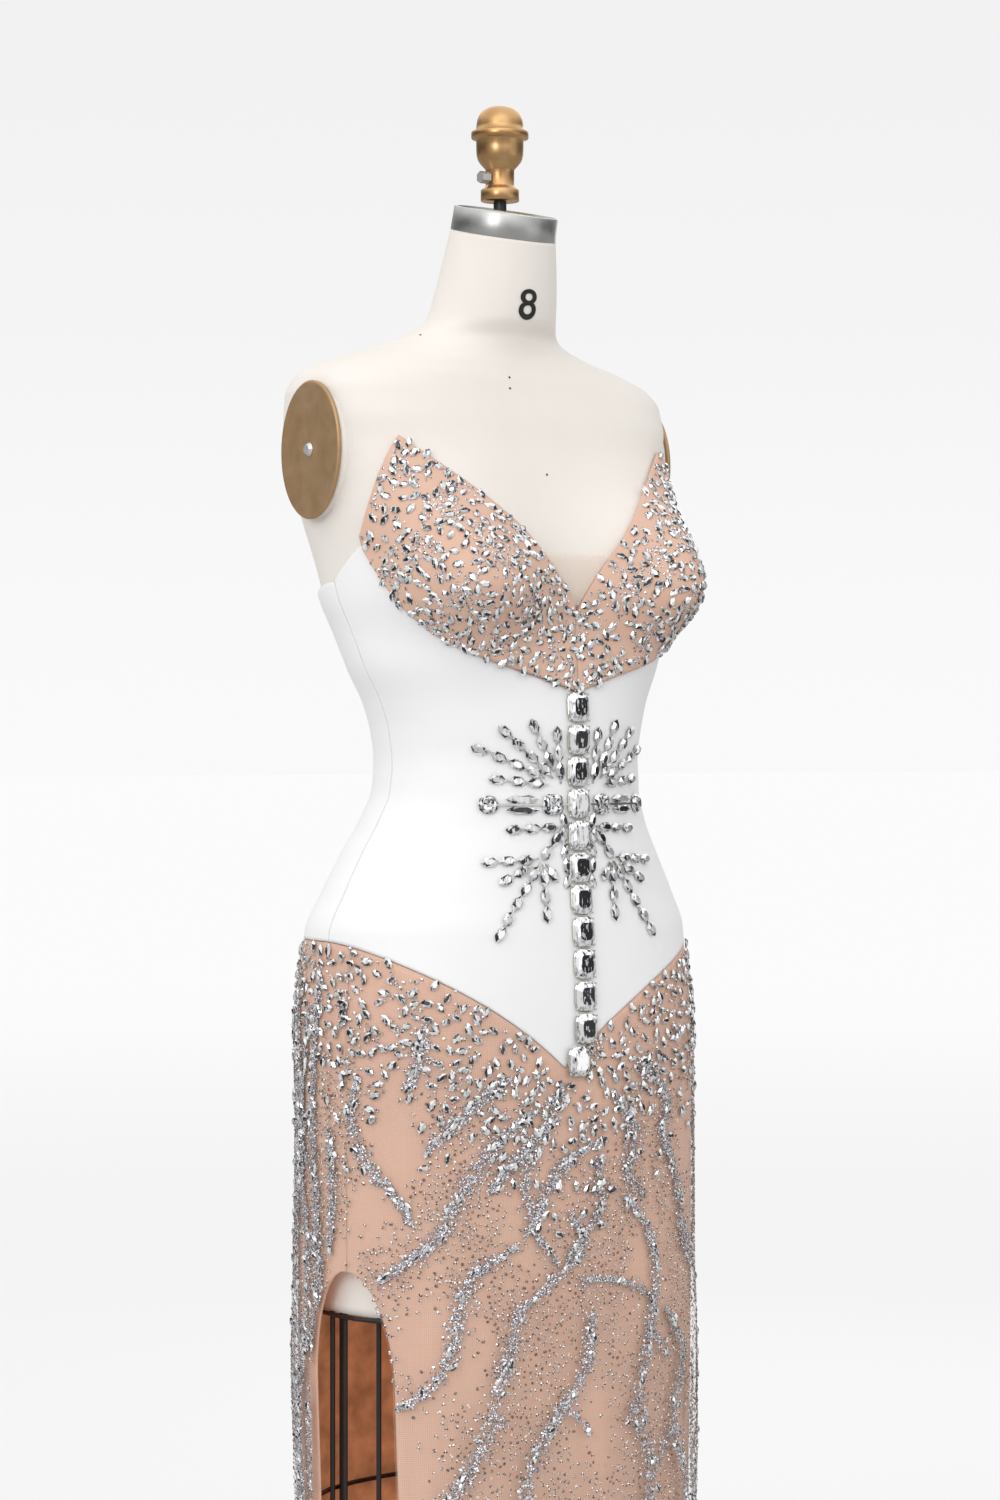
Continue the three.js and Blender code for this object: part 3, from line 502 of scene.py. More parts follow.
def wall_object(name: str, outer: Array, inner: Array, places: Array) -> Thing:
    """A closed cloth wall from its outer and inner grids, joined round the four edges.

    Args:
        name: The piece's name.
        outer: Grid of outer points, rows by columns.
        inner: Grid of inner points, of the same size.
        places: Grid of places along the cloth, for the weave.

    Returns:
        The wall, its inner faces in the second material slot.
    """
    rows, columns = outer.shape[0] - 1, outer.shape[1] - 1
    layer = outer.shape[0] * outer.shape[1]
    numbers = np.arange(layer).reshape(outer.shape[:2])
    rim = np.concatenate([numbers[0, :-1], numbers[:-1, -1], numbers[-1, :0:-1], numbers[:0:-1, 0]])
    after = np.roll(rim, -1)
    edge = np.stack([rim, rim + layer, after + layer, after], axis=-1)
    faces = np.concatenate([grid_faces(rows, columns), grid_faces(rows, columns, layer, True), edge])
    points = np.concatenate([outer.reshape(-1, 3), inner.reshape(-1, 3)])
    thing = new_object(name, points, faces)
    add_map(thing, np.concatenate([places.reshape(-1, 2)] * 2))
    slots = np.zeros(len(faces), np.int32)
    slots[rows * columns : 2 * rows * columns] = 1
    thing.data.polygons.foreach_set("material_index", slots)
    return thing


def loft_faces(rings: int, count: int, capped: bool = True) -> list[list[int]]:
    """Faces of a stack of closed rings, with a lid at each end where it is capped.

    Args:
        rings: Number of rings.
        count: Points in each ring.
        capped: Whether both ends are closed.

    Returns:
        The corner numbers of each face.
    """
    faces = []
    for ring in range(rings - 1):
        for step in range(count):
            beside = (step + 1) % count
            low, high = ring * count, (ring + 1) * count
            faces.append([low + step, low + beside, high + beside, high + step])
    if capped:
        faces.append(list(range(count))[::-1])
        faces.append([(rings - 1) * count + step for step in range(count)])
    return faces


def turned_object(name: str, profile: Sequence[tuple[float, float]], segments: int = 72) -> Thing:
    """A turned piece round the Z axis from a profile that starts and ends on it.

    Args:
        name: The piece's name.
        profile: Radius and level of each ring, from the foot up; the first and last lie on the axis.
        segments: Steps round the axis.

    Returns:
        The piece, its place still on the axis.
    """
    turns = np.arange(segments) * 2 * math.pi / segments
    ring = np.stack([np.cos(turns), np.sin(turns), 0 * turns], axis=-1)
    inner = profile[1:-1]
    points = [np.array([[0, 0, profile[0][1]]])]
    points += [ring * r + np.array([0, 0, z]) for r, z in inner]
    points.append(np.array([[0, 0, profile[-1][1]]]))
    faces = [[i + 1 for i in face] for face in loft_faces(len(inner), segments, False)]
    last = len(inner) * segments + 1
    for step in range(segments):
        beside = (step + 1) % segments
        faces.append([0, 1 + beside, 1 + step])
        faces.append([last, last - segments + step, last - segments + beside])
    return new_object(name, np.concatenate(points), faces)


def round_off(thing: Thing, width: float, segments: int = 3, angle: float = 35.0) -> None:
    """Rounds a piece's sharp edges with a bevel that is applied when the piece is shown.

    Args:
        thing: The piece.
        width: Width of the rounding in millimetres.
        segments: Steps of the rounding.
        angle: Edges sharper than this many degrees are rounded.
    """
    bevel = thing.modifiers.new("rounding", "BEVEL")
    bevel.width = width * MM
    bevel.segments = segments
    bevel.limit_method = "ANGLE"
    bevel.angle_limit = angle * DEGREE
    bevel.harden_normals = False


def add_node(
    tree: NodeTree, kind: str, inputs: dict[str | int, object] | None = None, **settings: object,
) -> Node:
    """Adds a node to a tree.

    Args:
        tree: The shader or geometry tree.
        kind: The node's type.
        inputs: Sockets or values for its inputs.
        **settings: Properties of the node.

    Returns:
        The node.
    """
    made = tree.nodes.new(kind)
    for key, value in settings.items():
        setattr(made, key, value)
    for key, value in (inputs or {}).items():
        if isinstance(value, Socket):
            tree.links.new(value, made.inputs[key])
        else:
            made.inputs[key].default_value = value
    return made


def math_node(tree: NodeTree, operation: str, *values: object) -> Socket:
    """A Math node's result from sockets or numbers."""
    return add_node(tree, "ShaderNodeMath", dict(enumerate(values)), operation=operation).outputs[0]


def ramp_node(tree: NodeTree, value: Socket, stops: Sequence[tuple[float, Colour]]) -> Socket:
    """Turns a value into a colour by a few stops.

    Args:
        tree: The tree of a material or a world.
        value: The value's socket.
        stops: Place and colour of each stop.

    Returns:
        The colour's socket.
    """
    node = add_node(tree, "ShaderNodeValToRGB", {0: value})
    elements = node.color_ramp.elements
    while len(elements) < len(stops):
        elements.new(0.5)
    for element, (place, colour) in zip(elements, stops):
        element.position = place
        element.color = (*colour, 1)
    return node.outputs[0]


class ShaderGroups:
    """Node groups of the effects that several finishes share, each made once."""

    def __init__(self) -> None:
        """Makes the groups."""
        self.weave = self._weave()
        self.mottle = self._mottle()
        self.facets = self._facets()
        self.brushing = self._brushing()

    @staticmethod
    def _start(name: str, **inputs: float | None) -> tuple[NodeTree, bpy.types.NodeOutputs]:
        """Starts a group whose one output is a value.

        Args:
            name: The group's name.
            **inputs: A number for each value input, or nothing for a vector input.

        Returns:
            The group and its inputs' sockets.
        """
        tree = bpy.data.node_groups.new(name, "ShaderNodeTree")
        for socket, value in inputs.items():
            kind = "NodeSocketVector" if value is None else "NodeSocketFloat"
            made = tree.interface.new_socket(socket, in_out="INPUT", socket_type=kind)
            if value is not None:
                made.default_value = value
        tree.interface.new_socket("Value", in_out="OUTPUT", socket_type="NodeSocketFloat")
        return tree, tree.nodes.new("NodeGroupInput").outputs

    @staticmethod
    def _end(tree: NodeTree, value: Socket) -> NodeTree:
        """Feeds the group's output and gives the group."""
        add_node(tree, "NodeGroupOutput", {"Value": value})
        return tree

    def _weave(self) -> NodeTree:
        """Height of crossing threads.

        Returns:
            The group.
        """
        tree, source = self._start("woven_threads", Place=None, Threads=1200.0)
        part = add_node(tree, "ShaderNodeSeparateXYZ", {0: source["Place"]})
        waves = []
        for axis in ("X", "Y"):
            turns = math_node(tree, "MULTIPLY", part.outputs[axis], source["Threads"])
            angle = math_node(tree, "MULTIPLY", turns, math.pi)
            waves.append(math_node(tree, "ABSOLUTE", math_node(tree, "SINE", angle)))
        return self._end(tree, math_node(tree, "MAXIMUM", *waves))

    def _mottle(self) -> NodeTree:
        """Slow unevenness of a surface, from low to high.

        Returns:
            The group.
        """
        tree, source = self._start("soft_unevenness", Place=None, Scale=6.0, Low=0.0, High=1.0)
        noise = add_node(tree, "ShaderNodeTexNoise", {
            "Vector": source["Place"], "Scale": source["Scale"], "Detail": 4,
        })
        spread = add_node(tree, "ShaderNodeMapRange", {
            "Value": noise.outputs[0], "From Min": 0.3, "From Max": 0.7,
            "To Min": source["Low"], "To Max": source["High"],
        })
        return self._end(tree, spread.outputs["Result"])

    def _facets(self) -> NodeTree:
        """How bright each facet of a foiled stone is painted, as reflection and glint, from its own number
        and its stone's.

        Returns:
            The group.
        """
        tree, source = self._start("facet_light", Facet=0.0, Stone=0.0)
        facet = math_node(tree, "MULTIPLY", source["Facet"], FACET_SPREAD)
        stone = math_node(tree, "MULTIPLY", source["Stone"], STONE_SPREAD)
        return self._end(tree, math_node(tree, "FRACT", math_node(tree, "ADD", facet, stone)))

    def _brushing(self) -> NodeTree:
        """Fine lines along one direction of a metal, or streaks of painted glint in glass.

        Returns:
            The group.
        """
        tree, source = self._start("brushed_lines", Place=None, Stretch=None)
        product = add_node(
            tree, "ShaderNodeVectorMath", {0: source["Place"], 1: source["Stretch"]}, operation="MULTIPLY"
        )
        noise = add_node(tree, "ShaderNodeTexNoise", {
            "Vector": product.outputs[0], "Scale": 1.0, "Detail": 3,
        })
        return self._end(tree, noise.outputs[0])


class MaterialMaker:
    """Builds one material node by node round a Principled shader."""

    def __init__(self, name: str) -> None:
        """Starts an empty material.

        Args:
            name: The finish's name.
        """
        self.material = bpy.data.materials.new(name)
        self.material.use_nodes = True
        self.tree = self.material.node_tree
        self.tree.nodes.clear()
        self.shader = self.tree.nodes.new("ShaderNodeBsdfPrincipled")
        add_node(self.tree, "ShaderNodeOutputMaterial", {"Surface": self.shader.outputs[0]})
        self.places = self.tree.nodes.new("ShaderNodeTexCoord").outputs

    def set(self, **values: float | tuple[float, ...]) -> None:
        """Sets the shader's own sockets, an underscore standing for a blank."""
        for name, value in values.items():
            self.shader.inputs[name.replace("_", " ")].default_value = value

    def group(self, tree: NodeTree, **values: object) -> Socket:
        """Places a shared effect with its own values.

        Args:
            tree: The node group.
            **values: A number, vector or socket for each named input.

        Returns:
            The effect's value.
        """
        return add_node(self.tree, "ShaderNodeGroup", values, node_tree=tree).outputs[0]

    def ramp(self, value: Socket, stops: Sequence[tuple[float, Colour]]) -> Socket:
        """Turns a value into a colour by a few stops.

        Args:
            value: The value's socket.
            stops: Place and colour of each stop.

        Returns:
            The colour's socket.
        """
        return ramp_node(self.tree, value, stops)

    def attribute(self, name: str) -> Socket:
        """A mesh attribute's value."""
        return add_node(self.tree, "ShaderNodeAttribute", attribute_name=name).outputs["Fac"]

    def link(self, source: Socket, name: str) -> None:
        """Feeds one of the shader's sockets."""
        self.tree.links.new(source, self.shader.inputs[name])

    def bump(self, height: Socket, distance: float, strength: float = 1.0) -> None:
        """Adds a bump under any bump that the shader has already.

        Args:
            height: The height's socket.
            distance: Height of the relief in millimetres.
            strength: Share of it that shows.
        """
        node = add_node(self.tree, "ShaderNodeBump", {
            "Distance": distance * MM, "Strength": strength, "Height": height,
        })
        for before in self.shader.inputs["Normal"].links:
            self.tree.links.new(before.from_socket, node.inputs["Normal"])
        self.tree.links.new(node.outputs[0], self.shader.inputs["Normal"])


def tone(red: int, green: int, blue: int) -> Colour:
    """A colour given by its three screen values from 0 to 255, made linear."""
    shares = [value / 255 for value in (red, green, blue)]
    return tuple(s / 12.92 if s <= 0.04045 else ((s + 0.055) / 1.055) ** 2.4 for s in shares)


def darker(colour: Colour, share: float) -> Colour:
    """The colour at a share of its brightness."""
    return tuple(value * share for value in colour)


@dataclass(frozen=True)
class ClothFinish:
    """A woven cloth: its colour, its threads a metre, its sheen, and a painted glow where it stands for
    light shining through.
    """

    name: str
    colour: Colour
    threads: float
    relief: float
    roughness: float
    sheen: float
    shade: float = 0.94
    glow: float = 0.0
    patches: float = 9.0

    def make(self, groups: ShaderGroups) -> Material:
        """Builds the material on the piece's own cloth map.

        Args:
            groups: The shared effects.

        Returns:
            The material.
        """
        maker = MaterialMaker(self.name)
        place = maker.places["UV"]
        # Slow darker patches; on the lining's inside they are deep and close, painted shadows of the sequins
        # beyond.
        slow = maker.group(groups.mottle, Place=place, Scale=self.patches)
        colour = maker.ramp(slow, [(0, darker(self.colour, self.shade)), (1, self.colour)])
        maker.link(colour, "Base Color")
        # Painted light: the cloth glows with its own colour as if lit through from behind, though it is no
        # lamp.
        if self.glow:
            maker.link(colour, "Emission Color")
            maker.set(Emission_Strength=self.glow)
        weave = maker.group(groups.weave, Place=place, Threads=self.threads)
        maker.bump(weave, self.relief, 0.6)
        maker.set(Roughness=self.roughness, Specular_IOR_Level=0.25)
        maker.set(Sheen_Weight=self.sheen, Sheen_Roughness=0.45)
        return maker.material


@dataclass(frozen=True)
class NetFinish:
    """Sheer net: threads round open cells, which let the cloth behind show."""

    name: str
    colour: Colour
    cover: float
    threads: float = 620.0

    def make(self, groups: ShaderGroups) -> Material:
        """Builds the material, its cells on the piece's own cloth map.

        Args:
            groups: The shared effects.

        Returns:
            The material.
        """
        maker = MaterialMaker(self.name)
        place = maker.places["UV"]
        weave = maker.group(groups.weave, Place=place, Threads=self.threads)
        low, high = 0.75 * self.cover, 1.25 * self.cover
        slow = maker.group(groups.mottle, Place=place, Scale=14.0, Low=low, High=high)
        limits = add_node(maker.tree, "ShaderNodeMapRange", {
            "Value": weave, "From Min": 0.72, "From Max": 0.98,
        })
        maker.link(math_node(maker.tree, "MULTIPLY", limits.outputs[0], slow), "Alpha")
        maker.set(Base_Color=(*self.colour, 1), Roughness=0.5, Sheen_Weight=0.6, Sheen_Roughness=0.3)
        return maker.material


@dataclass(frozen=True)
class StoneFinish:
    """Foiled faceted glass, or a sequin's foil: each facet has its own painted brightness, standing for the
    reflections and glints that it catches.
    """

    name: str
    dark: Colour
    middle: Colour
    light: Colour
    metal: float
    roughness: float
    dark_share: float = 0.25
    flicker: float = 0.0
    flicker_size: tuple[float, float, float] = (420.0, 420.0, 150.0)

    def make(self, groups: ShaderGroups) -> Material:
        """Builds the material on the stones' own attributes.

        Args:
            groups: The shared effects.

        Returns:
            The material.
        """
        maker = MaterialMaker(self.name)
        # Painted reflection: each facet's brightness, from dark to white, stands in for the light and shade
        # that foil and facets would reflect.
        light = maker.group(groups.facets, Facet=maker.attribute("facet"), Stone=maker.attribute("tint"))
        # Painted glints: stretched streaks that brighten or darken the facets.
        if self.flicker:
            lines = maker.group(groups.brushing, Place=maker.places["Object"], Stretch=self.flicker_size)
            shift = math_node(maker.tree, "MULTIPLY_ADD", lines, self.flicker, -self.flicker / 2)
            light = math_node(maker.tree, "ADD", light, shift)
        stops = [(0, self.dark), (self.dark_share, self.dark), (self.dark_share + 0.12, self.middle)]
        stops += [(0.68, self.middle), (0.8, self.light)]
        maker.link(maker.ramp(light, stops), "Base Color")
        maker.set(Metallic=self.metal, Roughness=self.roughness, Coat_Weight=0.4, Coat_Roughness=0.03)
        return maker.material


@dataclass(frozen=True)
class MetalFinish:
    """A metal or painted part with fine brushing and uneven wear."""

    name: str
    colour: Colour
    worn: Colour
    metal: float
    roughness: float
    stretch: tuple[float, float, float] = (60.0, 60.0, 900.0)
    relief: float = 0.02

    def make(self, groups: ShaderGroups) -> Material:
        """Builds the material on the object's own places.

        Args:
            groups: The shared effects.

        Returns:
            The material.
        """
        maker = MaterialMaker(self.name)
        place = maker.places["Object"]
        lines = maker.group(groups.brushing, Place=place, Stretch=self.stretch)
        slow = maker.group(groups.mottle, Place=place, Scale=35.0)
        maker.link(maker.ramp(slow, [(0.1, self.colour), (1, self.worn)]), "Base Color")
        low, high = self.roughness * 0.85, self.roughness * 1.2
        rough = maker.group(groups.mottle, Place=place, Scale=90.0, Low=low, High=high)
        maker.link(rough, "Roughness")
        maker.bump(lines, self.relief, 0.5)
        maker.set(Metallic=self.metal)
        return maker.material


class Wardrobe:
    """Every finish of the gown and its form, made once."""

    def __init__(self) -> None:
        """Makes the shared effects and the finishes."""
        groups = ShaderGroups()
        finishes = [
            ClothFinish("white_crepe", tone(245, 245, 246), 1500, 0.05, 0.7, 0.15, 0.985),
            ClothFinish("nude_lining", tone(223, 181, 158), 1900, 0.03, 0.6, 0.15, 0.94),
            # The lining's inside: painted glow of light shining through the cloth, with deep close patches
            # that are painted shadows of sequins.
            ClothFinish("nude_inside", tone(212, 146, 104), 1900, 0.03, 0.6, 0.1, 0.5, 0.34, 42.0),
            ClothFinish("nude_cup", tone(226, 187, 165), 1900, 0.03, 0.6, 0.25, 0.93),
            ClothFinish("linen_canvas", tone(240, 234, 227), 1100, 0.12, 0.9, 0.1, 0.97),
            NetFinish("silver_net", tone(236, 222, 212), 0.22),
            NetFinish("nude_net", tone(240, 222, 208), 0.75, 1100.0),
            # The stones' and sequins' dark, middle and light colours are painted reflections, and the
            # glass's last number sets its painted glints.
            StoneFinish("foiled_glass", (0.03, 0.03, 0.035), (0.64, 0.65, 0.66), WHITE, 0.5, 0.1, 0.23, 1.5),
            StoneFinish("deep_glass", (0.01, 0.01, 0.012), (0.55, 0.56, 0.58), WHITE, 0.65, 0.05, 0.27, 3.2),
            StoneFinish(
                "silver_sequin", (0.12, 0.11, 0.13), (0.45, 0.43, 0.46), (1.0, 0.99, 1.0), 0.5, 0.22, 0.26
            ),
            StoneFinish(
                "clear_sequin", (0.1, 0.06, 0.045), (0.36, 0.26, 0.22), (0.95, 0.9, 0.88), 0.25, 0.25, 0.3
            ),
            MetalFinish("satin_brass", tone(176, 136, 90), tone(202, 166, 120), 1.0, 0.3),
            MetalFinish(
                "plate_brass", tone(168, 134, 96), tone(182, 150, 114), 0.55, 0.45, (500.0, 40.0, 40.0)
            ),
            MetalFinish("brushed_steel", tone(176, 176, 174), tone(192, 192, 191), 1.0, 0.33),
            MetalFinish("bright_steel", tone(200, 200, 200), tone(216, 216, 216), 0.6, 0.25),
            MetalFinish("black_wire", tone(22, 22, 24), tone(30, 30, 32), 0.0, 0.42),
            MetalFinish("stone_setting", tone(196, 194, 186), tone(216, 214, 208), 1.0, 0.22),
            MetalFinish("zip_white", tone(238, 238, 236), tone(246, 246, 244), 0.0, 0.5),
            MetalFinish("number_ink", tone(28, 28, 28), tone(36, 36, 36), 0.0, 0.7),
        ]
        self.materials = {finish.name: finish.make(groups) for finish in finishes}

    def __getitem__(self, name: str) -> Material:
        """The material of that name."""
        return self.materials[name]

    def dress(self, thing: Thing, *names: str) -> Thing:
        """Puts finishes in a piece's material slots, in place of what was there.

        Args:
            thing: The piece.
            *names: The finishes, one a slot.

        Returns:
            The piece.
        """
        slots = thing.data.materials
        for number, name in enumerate(names):
            if number < len(slots):
                slots[number] = self.materials[name]
            else:
                slots.append(self.materials[name])
        return thing


def place_piece(thing: Thing, slot: str, *nodes: str) -> Thing:
    """Rides a finished piece on the main body, hides the CAD nodes that it replaces and logs its face count.

    Args:
        thing: The piece.
        slot: Not used.
        *nodes: CAD nodes that it replaces.

    Returns:
        The piece.
    """
    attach(thing, FORM_BODY)
    if nodes:
        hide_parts(*nodes)
    log.info("%s: %d faces", thing.name, len(thing.data.polygons))
    return thing


class GeometryTree:
    """A geometry node tree under construction, with its named inputs."""

    def __init__(self, name: str) -> None:
        """Starts a tree with a geometry input and output.

        Args:
            name: The tree's name.
        """
        self.tree = bpy.data.node_groups.new(name, "GeometryNodeTree")
        self.entry = self.tree.nodes.new("NodeGroupInput")
        self.exit = self.tree.nodes.new("NodeGroupOutput")
        self.tree.interface.new_socket("Geometry", in_out="INPUT", socket_type="NodeSocketGeometry")
        self.tree.interface.new_socket("Geometry", in_out="OUTPUT", socket_type="NodeSocketGeometry")

    def wants(self, name: str, kind: str) -> Socket:
        """Adds a named input and gives the socket to link from."""
        self.tree.interface.new_socket(name, in_out="INPUT", socket_type=kind)
        return self.entry.outputs[name]

    def node(self, kind: str, inputs: dict[str | int, object] | None = None, **settings: object) -> Node:
        """Adds a node to the tree, as add_node does."""
        return add_node(self.tree, kind, inputs, **settings)

    def close(self, instances: Socket, finish: Socket) -> NodeTree:
        """Realizes the instances, sets their material and ends the tree.

        Args:
            instances: The laid stones.
            finish: The material's socket.

        Returns:
            The finished tree.
        """
        real = self.node("GeometryNodeRealizeInstances", {"Geometry": instances})
        dressed = self.node("GeometryNodeSetMaterial", {"Geometry": real.outputs[0], "Material": finish})
        self.tree.links.new(dressed.outputs[0], self.exit.inputs[0])
        return self.tree


def run_tree(name: str, base: Thing, tree: NodeTree, **values: object) -> Thing:
    """Runs a geometry tree on a base mesh and keeps the result as a plain mesh.

    Args:
        name: The new piece's name.
        base: The mesh that the tree starts from, which is used up.
        tree: The geometry tree.
        **values: The tree's inputs, an underscore standing for a blank.

    Returns:
        The new piece.
    """
    modifier = base.modifiers.new("repeat", "NODES")
    modifier.node_group = tree
    for item in tree.interface.items_tree:
        if item.item_type == "SOCKET" and item.in_out == "INPUT" and item.name.replace(" ", "_") in values:
            modifier[item.identifier] = values[item.name.replace(" ", "_")]
    bpy.context.view_layer.update()
    depsgraph = bpy.context.evaluated_depsgraph_get()
    mesh = bpy.data.meshes.new_from_object(
        base.evaluated_get(depsgraph), preserve_all_data_layers=True, depsgraph=depsgraph
    )
    mesh.name = name
    bpy.data.objects.remove(base)
    piece = bpy.data.objects.new(name, mesh)
    bpy.context.scene.collection.objects.link(piece)
    return piece


class Beading:
    """The two geometry trees that lay stones and sequins: on given points, or strewn over cloth."""

    def __init__(self) -> None:
        """Builds both trees."""
        self.placed = self._placed()
        self.strewn = self._strewn()

    @staticmethod
    def _placed() -> NodeTree:
        """Stones on points that carry where each faces, where its length lies and its size.

        Returns:
            The tree.
        """
        tree = GeometryTree("placed_stones")
        stone = tree.wants("Stone", "NodeSocketObject")
        finish = tree.wants("Finish", "NodeSocketMaterial")
        named = {
            key: tree.node(
                "GeometryNodeInputNamedAttribute", {"Name": key}, data_type="FLOAT_VECTOR"
            ).outputs[0]
            for key in ("facing", "along", "size")
        }
        outward = tree.node("FunctionNodeAlignRotationToVector", {"Vector": named["facing"]}, axis="Z")
        turned = tree.node(
            "FunctionNodeAlignRotationToVector",
            {"Rotation": outward.outputs[0], "Vector": named["along"]},
            axis="X", pivot_axis="Z",
        )
        shape = tree.node("GeometryNodeObjectInfo", {"Object": stone})
        laid = tree.node("GeometryNodeInstanceOnPoints", {
            "Points": tree.entry.outputs["Geometry"], "Instance": shape.outputs["Geometry"],
            "Rotation": turned.outputs[0], "Scale": named["size"],
        })
        return tree.close(laid.outputs[0], finish)

    @staticmethod
    def _strewn() -> NodeTree:
        """Stones strewn over cloth, no two nearer than the spacing, denser where its cover is higher.

        Returns:
            The tree.
        """
        tree = GeometryTree("strewn_stones")
        stone = tree.wants("Stone", "NodeSocketObject")
        finish = tree.wants("Finish", "NodeSocketMaterial")
        spacing = tree.wants("Spacing", "NodeSocketFloat")
        density = tree.wants("Density", "NodeSocketFloat")
        smallest = tree.wants("Smallest", "NodeSocketFloat")
        largest = tree.wants("Largest", "NodeSocketFloat")
        lean = tree.wants("Lean", "NodeSocketFloat")
        seed = tree.wants("Seed", "NodeSocketInt")
        cover = tree.node("GeometryNodeInputNamedAttribute", {"Name": "cover"}, data_type="FLOAT")
        points = tree.node("GeometryNodeDistributePointsOnFaces", {
            "Mesh": tree.entry.outputs["Geometry"], "Distance Min": spacing, "Density Max": density,
            "Density Factor": cover.outputs[0], "Seed": seed,
        }, distribute_method="POISSON")
        tint = tree.node("FunctionNodeRandomValue", {"Seed": seed}, data_type="FLOAT")
        tinted = tree.node("GeometryNodeStoreNamedAttribute", {
            "Geometry": points.outputs["Points"], "Name": "tint", "Value": tint.outputs[1],
        }, data_type="FLOAT", domain="POINT")
        back = tree.node("ShaderNodeMath", {0: lean, 1: -1.0}, operation="MULTIPLY")
        low = tree.node("ShaderNodeCombineXYZ", {"X": back.outputs[0], "Y": back.outputs[0], "Z": -math.pi})
        high = tree.node("ShaderNodeCombineXYZ", {"X": lean, "Y": lean, "Z": math.pi})
        angles = tree.node("FunctionNodeRandomValue", {
            0: low.outputs[0], 1: high.outputs[0], "Seed": seed,
        }, data_type="FLOAT_VECTOR")
        euler = tree.node("FunctionNodeEulerToRotation", {0: angles.outputs[0]})
        turned = tree.node("FunctionNodeRotateRotation", {
            "Rotation": points.outputs["Rotation"], "Rotate By": euler.outputs[0],
        }, rotation_space="LOCAL")
        size = tree.node(
            "FunctionNodeRandomValue", {2: smallest, 3: largest, "Seed": seed}, data_type="FLOAT"
        )
        shape = tree.node("GeometryNodeObjectInfo", {"Object": stone})
        laid = tree.node("GeometryNodeInstanceOnPoints", {
            "Points": tinted.outputs[0], "Instance": shape.outputs["Geometry"],
            "Rotation": turned.outputs[0], "Scale": size.outputs[1],
        })
        return tree.close(laid.outputs[0], finish)


@dataclass(frozen=True)
class StoneCut:
    """A faceted stone lying on the cloth: an outline and its rings, each with a scale and a rise."""

    name: str
    outline: tuple[tuple[float, float], ...]
    half_length: float
    half_width: float
    layers: tuple[tuple[float, float], ...]
    peak: float | None = None
    stepped: bool = False

    def template(self) -> Thing:
        """The stone as a small mesh of flat facets, each with its own number.

        Returns:
            The stone, which the trees repeat.
        """
        outline = np.array(self.outline) * (self.half_length, self.half_width)
        count = len(outline)
        points = [np.column_stack([outline * scale, np.full(count, rise)]) for scale, rise in self.layers]
        faces = []
        for ring in range(len(self.layers) - 1):
            for step in range(count):
                beside = (step + 1) % count
                low, high = ring * count, (ring + 1) * count
                faces.append([low + step, low + beside, high + beside])
                faces.append([low + step, high + beside, high + step])
        faces.append(list(range(count))[::-1])
        top = (len(self.layers) - 1) * count
        if self.peak is None:
            faces.append([top + step for step in range(count)])
        else:
            points.append(np.array([[0.0, 0.0, self.peak]]))
            faces += [[top + step, top + (step + 1) % count, top + count] for step in range(count)]
        thing = new_object(self.name, np.concatenate(points), faces, rounded=False)
        numbers = (np.arange(len(faces)) * GOLDEN) % 1
        # A step cut's facets are numbered for painted light on one flank and painted shade on the other.
        if self.stepped:
            numbers = self.step_light(thing, numbers)
        add_value(thing, "facet", numbers, domain="FACE")
        return thing

    def step_light(self, thing: Thing, numbers: Array) -> Array:
        """Facet numbers of a step cut: painted light on one flank and at the ends, painted shade on the
        other flank.

        Args:
            thing: The stone.
            numbers: One number from 0 to 1 for each facet.

        Returns:
            The numbers, as the facets' light effect reads them.
        """
        middles = np.array([polygon.center for polygon in thing.data.polygons]) / MM
        across, up = middles[:, 0] / self.half_length, middles[:, 1] / self.half_width
        light = np.where(across > 0.0, (numbers * 3) % 1, 0.9)
        light = np.where(np.abs(up) > 0.6, 0.5 + 0.45 * numbers, light)
        light = np.where((np.abs(across) < 0.1) & (np.abs(up) < 0.1), 0.05, light)
        return light / FACET_SPREAD


def regular_outline(count: int, start: float = 0.0) -> tuple[tuple[float, float], ...]:
    """Corners of a regular outline, the first one at a turn given in degrees."""
    turns = [start * DEGREE + 2 * math.pi * step / count for step in range(count)]
    return tuple((math.cos(turn), math.sin(turn)) for turn in turns)


LEAF_OUTLINE = ((1, 0), (0.45, 0.82), (-0.45, 0.82), (-1, 0), (-0.45, -0.82), (0.45, -0.82))
CUSHION_OUTLINE = (
    (1, -0.5), (1, 0.5), (0.84, 0.84), (0.5, 1), (-0.5, 1), (-0.84, 0.84),
    (-1, 0.5), (-1, -0.5), (-0.84, -0.84), (-0.5, -1), (0.5, -1), (0.84, -0.84),
)
BOX_OUTLINE = ((1, 1), (-1, 1), (-1, -1), (1, -1))
MARQUISE = StoneCut("marquise", LEAF_OUTLINE, 5.6, 3.6, ((0.9, 0.0), (1.0, 0.9), (0.5, 2.6)))
TWIG_STONE = StoneCut("twig_marquise", LEAF_OUTLINE, 8.0, 5.0, ((0.9, 0.9), (1.0, 2.4), (0.55, 4.8)))
HUG_STONE = StoneCut("hug_marquise", LEAF_OUTLINE, 7.4, 4.2, ((0.9, 0.2), (1.0, 1.6), (0.5, 3.4)))
SEQUIN = StoneCut("sequin", regular_outline(6), 1.5, 1.5, ((1.0, 0.1),), 0.65)
BEAD = StoneCut("bead", regular_outline(6, 30), 1.5, 1.5, ((0.8, 0.0), (1.0, 0.7)), 1.5)
STEM = StoneCut("stem", BOX_OUTLINE, 8.0, 0.9, ((1.0, 0.3), (1.0, 1.4), (0.9, 1.8)))
TOOTH = StoneCut("tooth", BOX_OUTLINE, 1.1, 0.55, ((1.0, 0.0), (1.0, 0.5), (0.8, 0.8)))
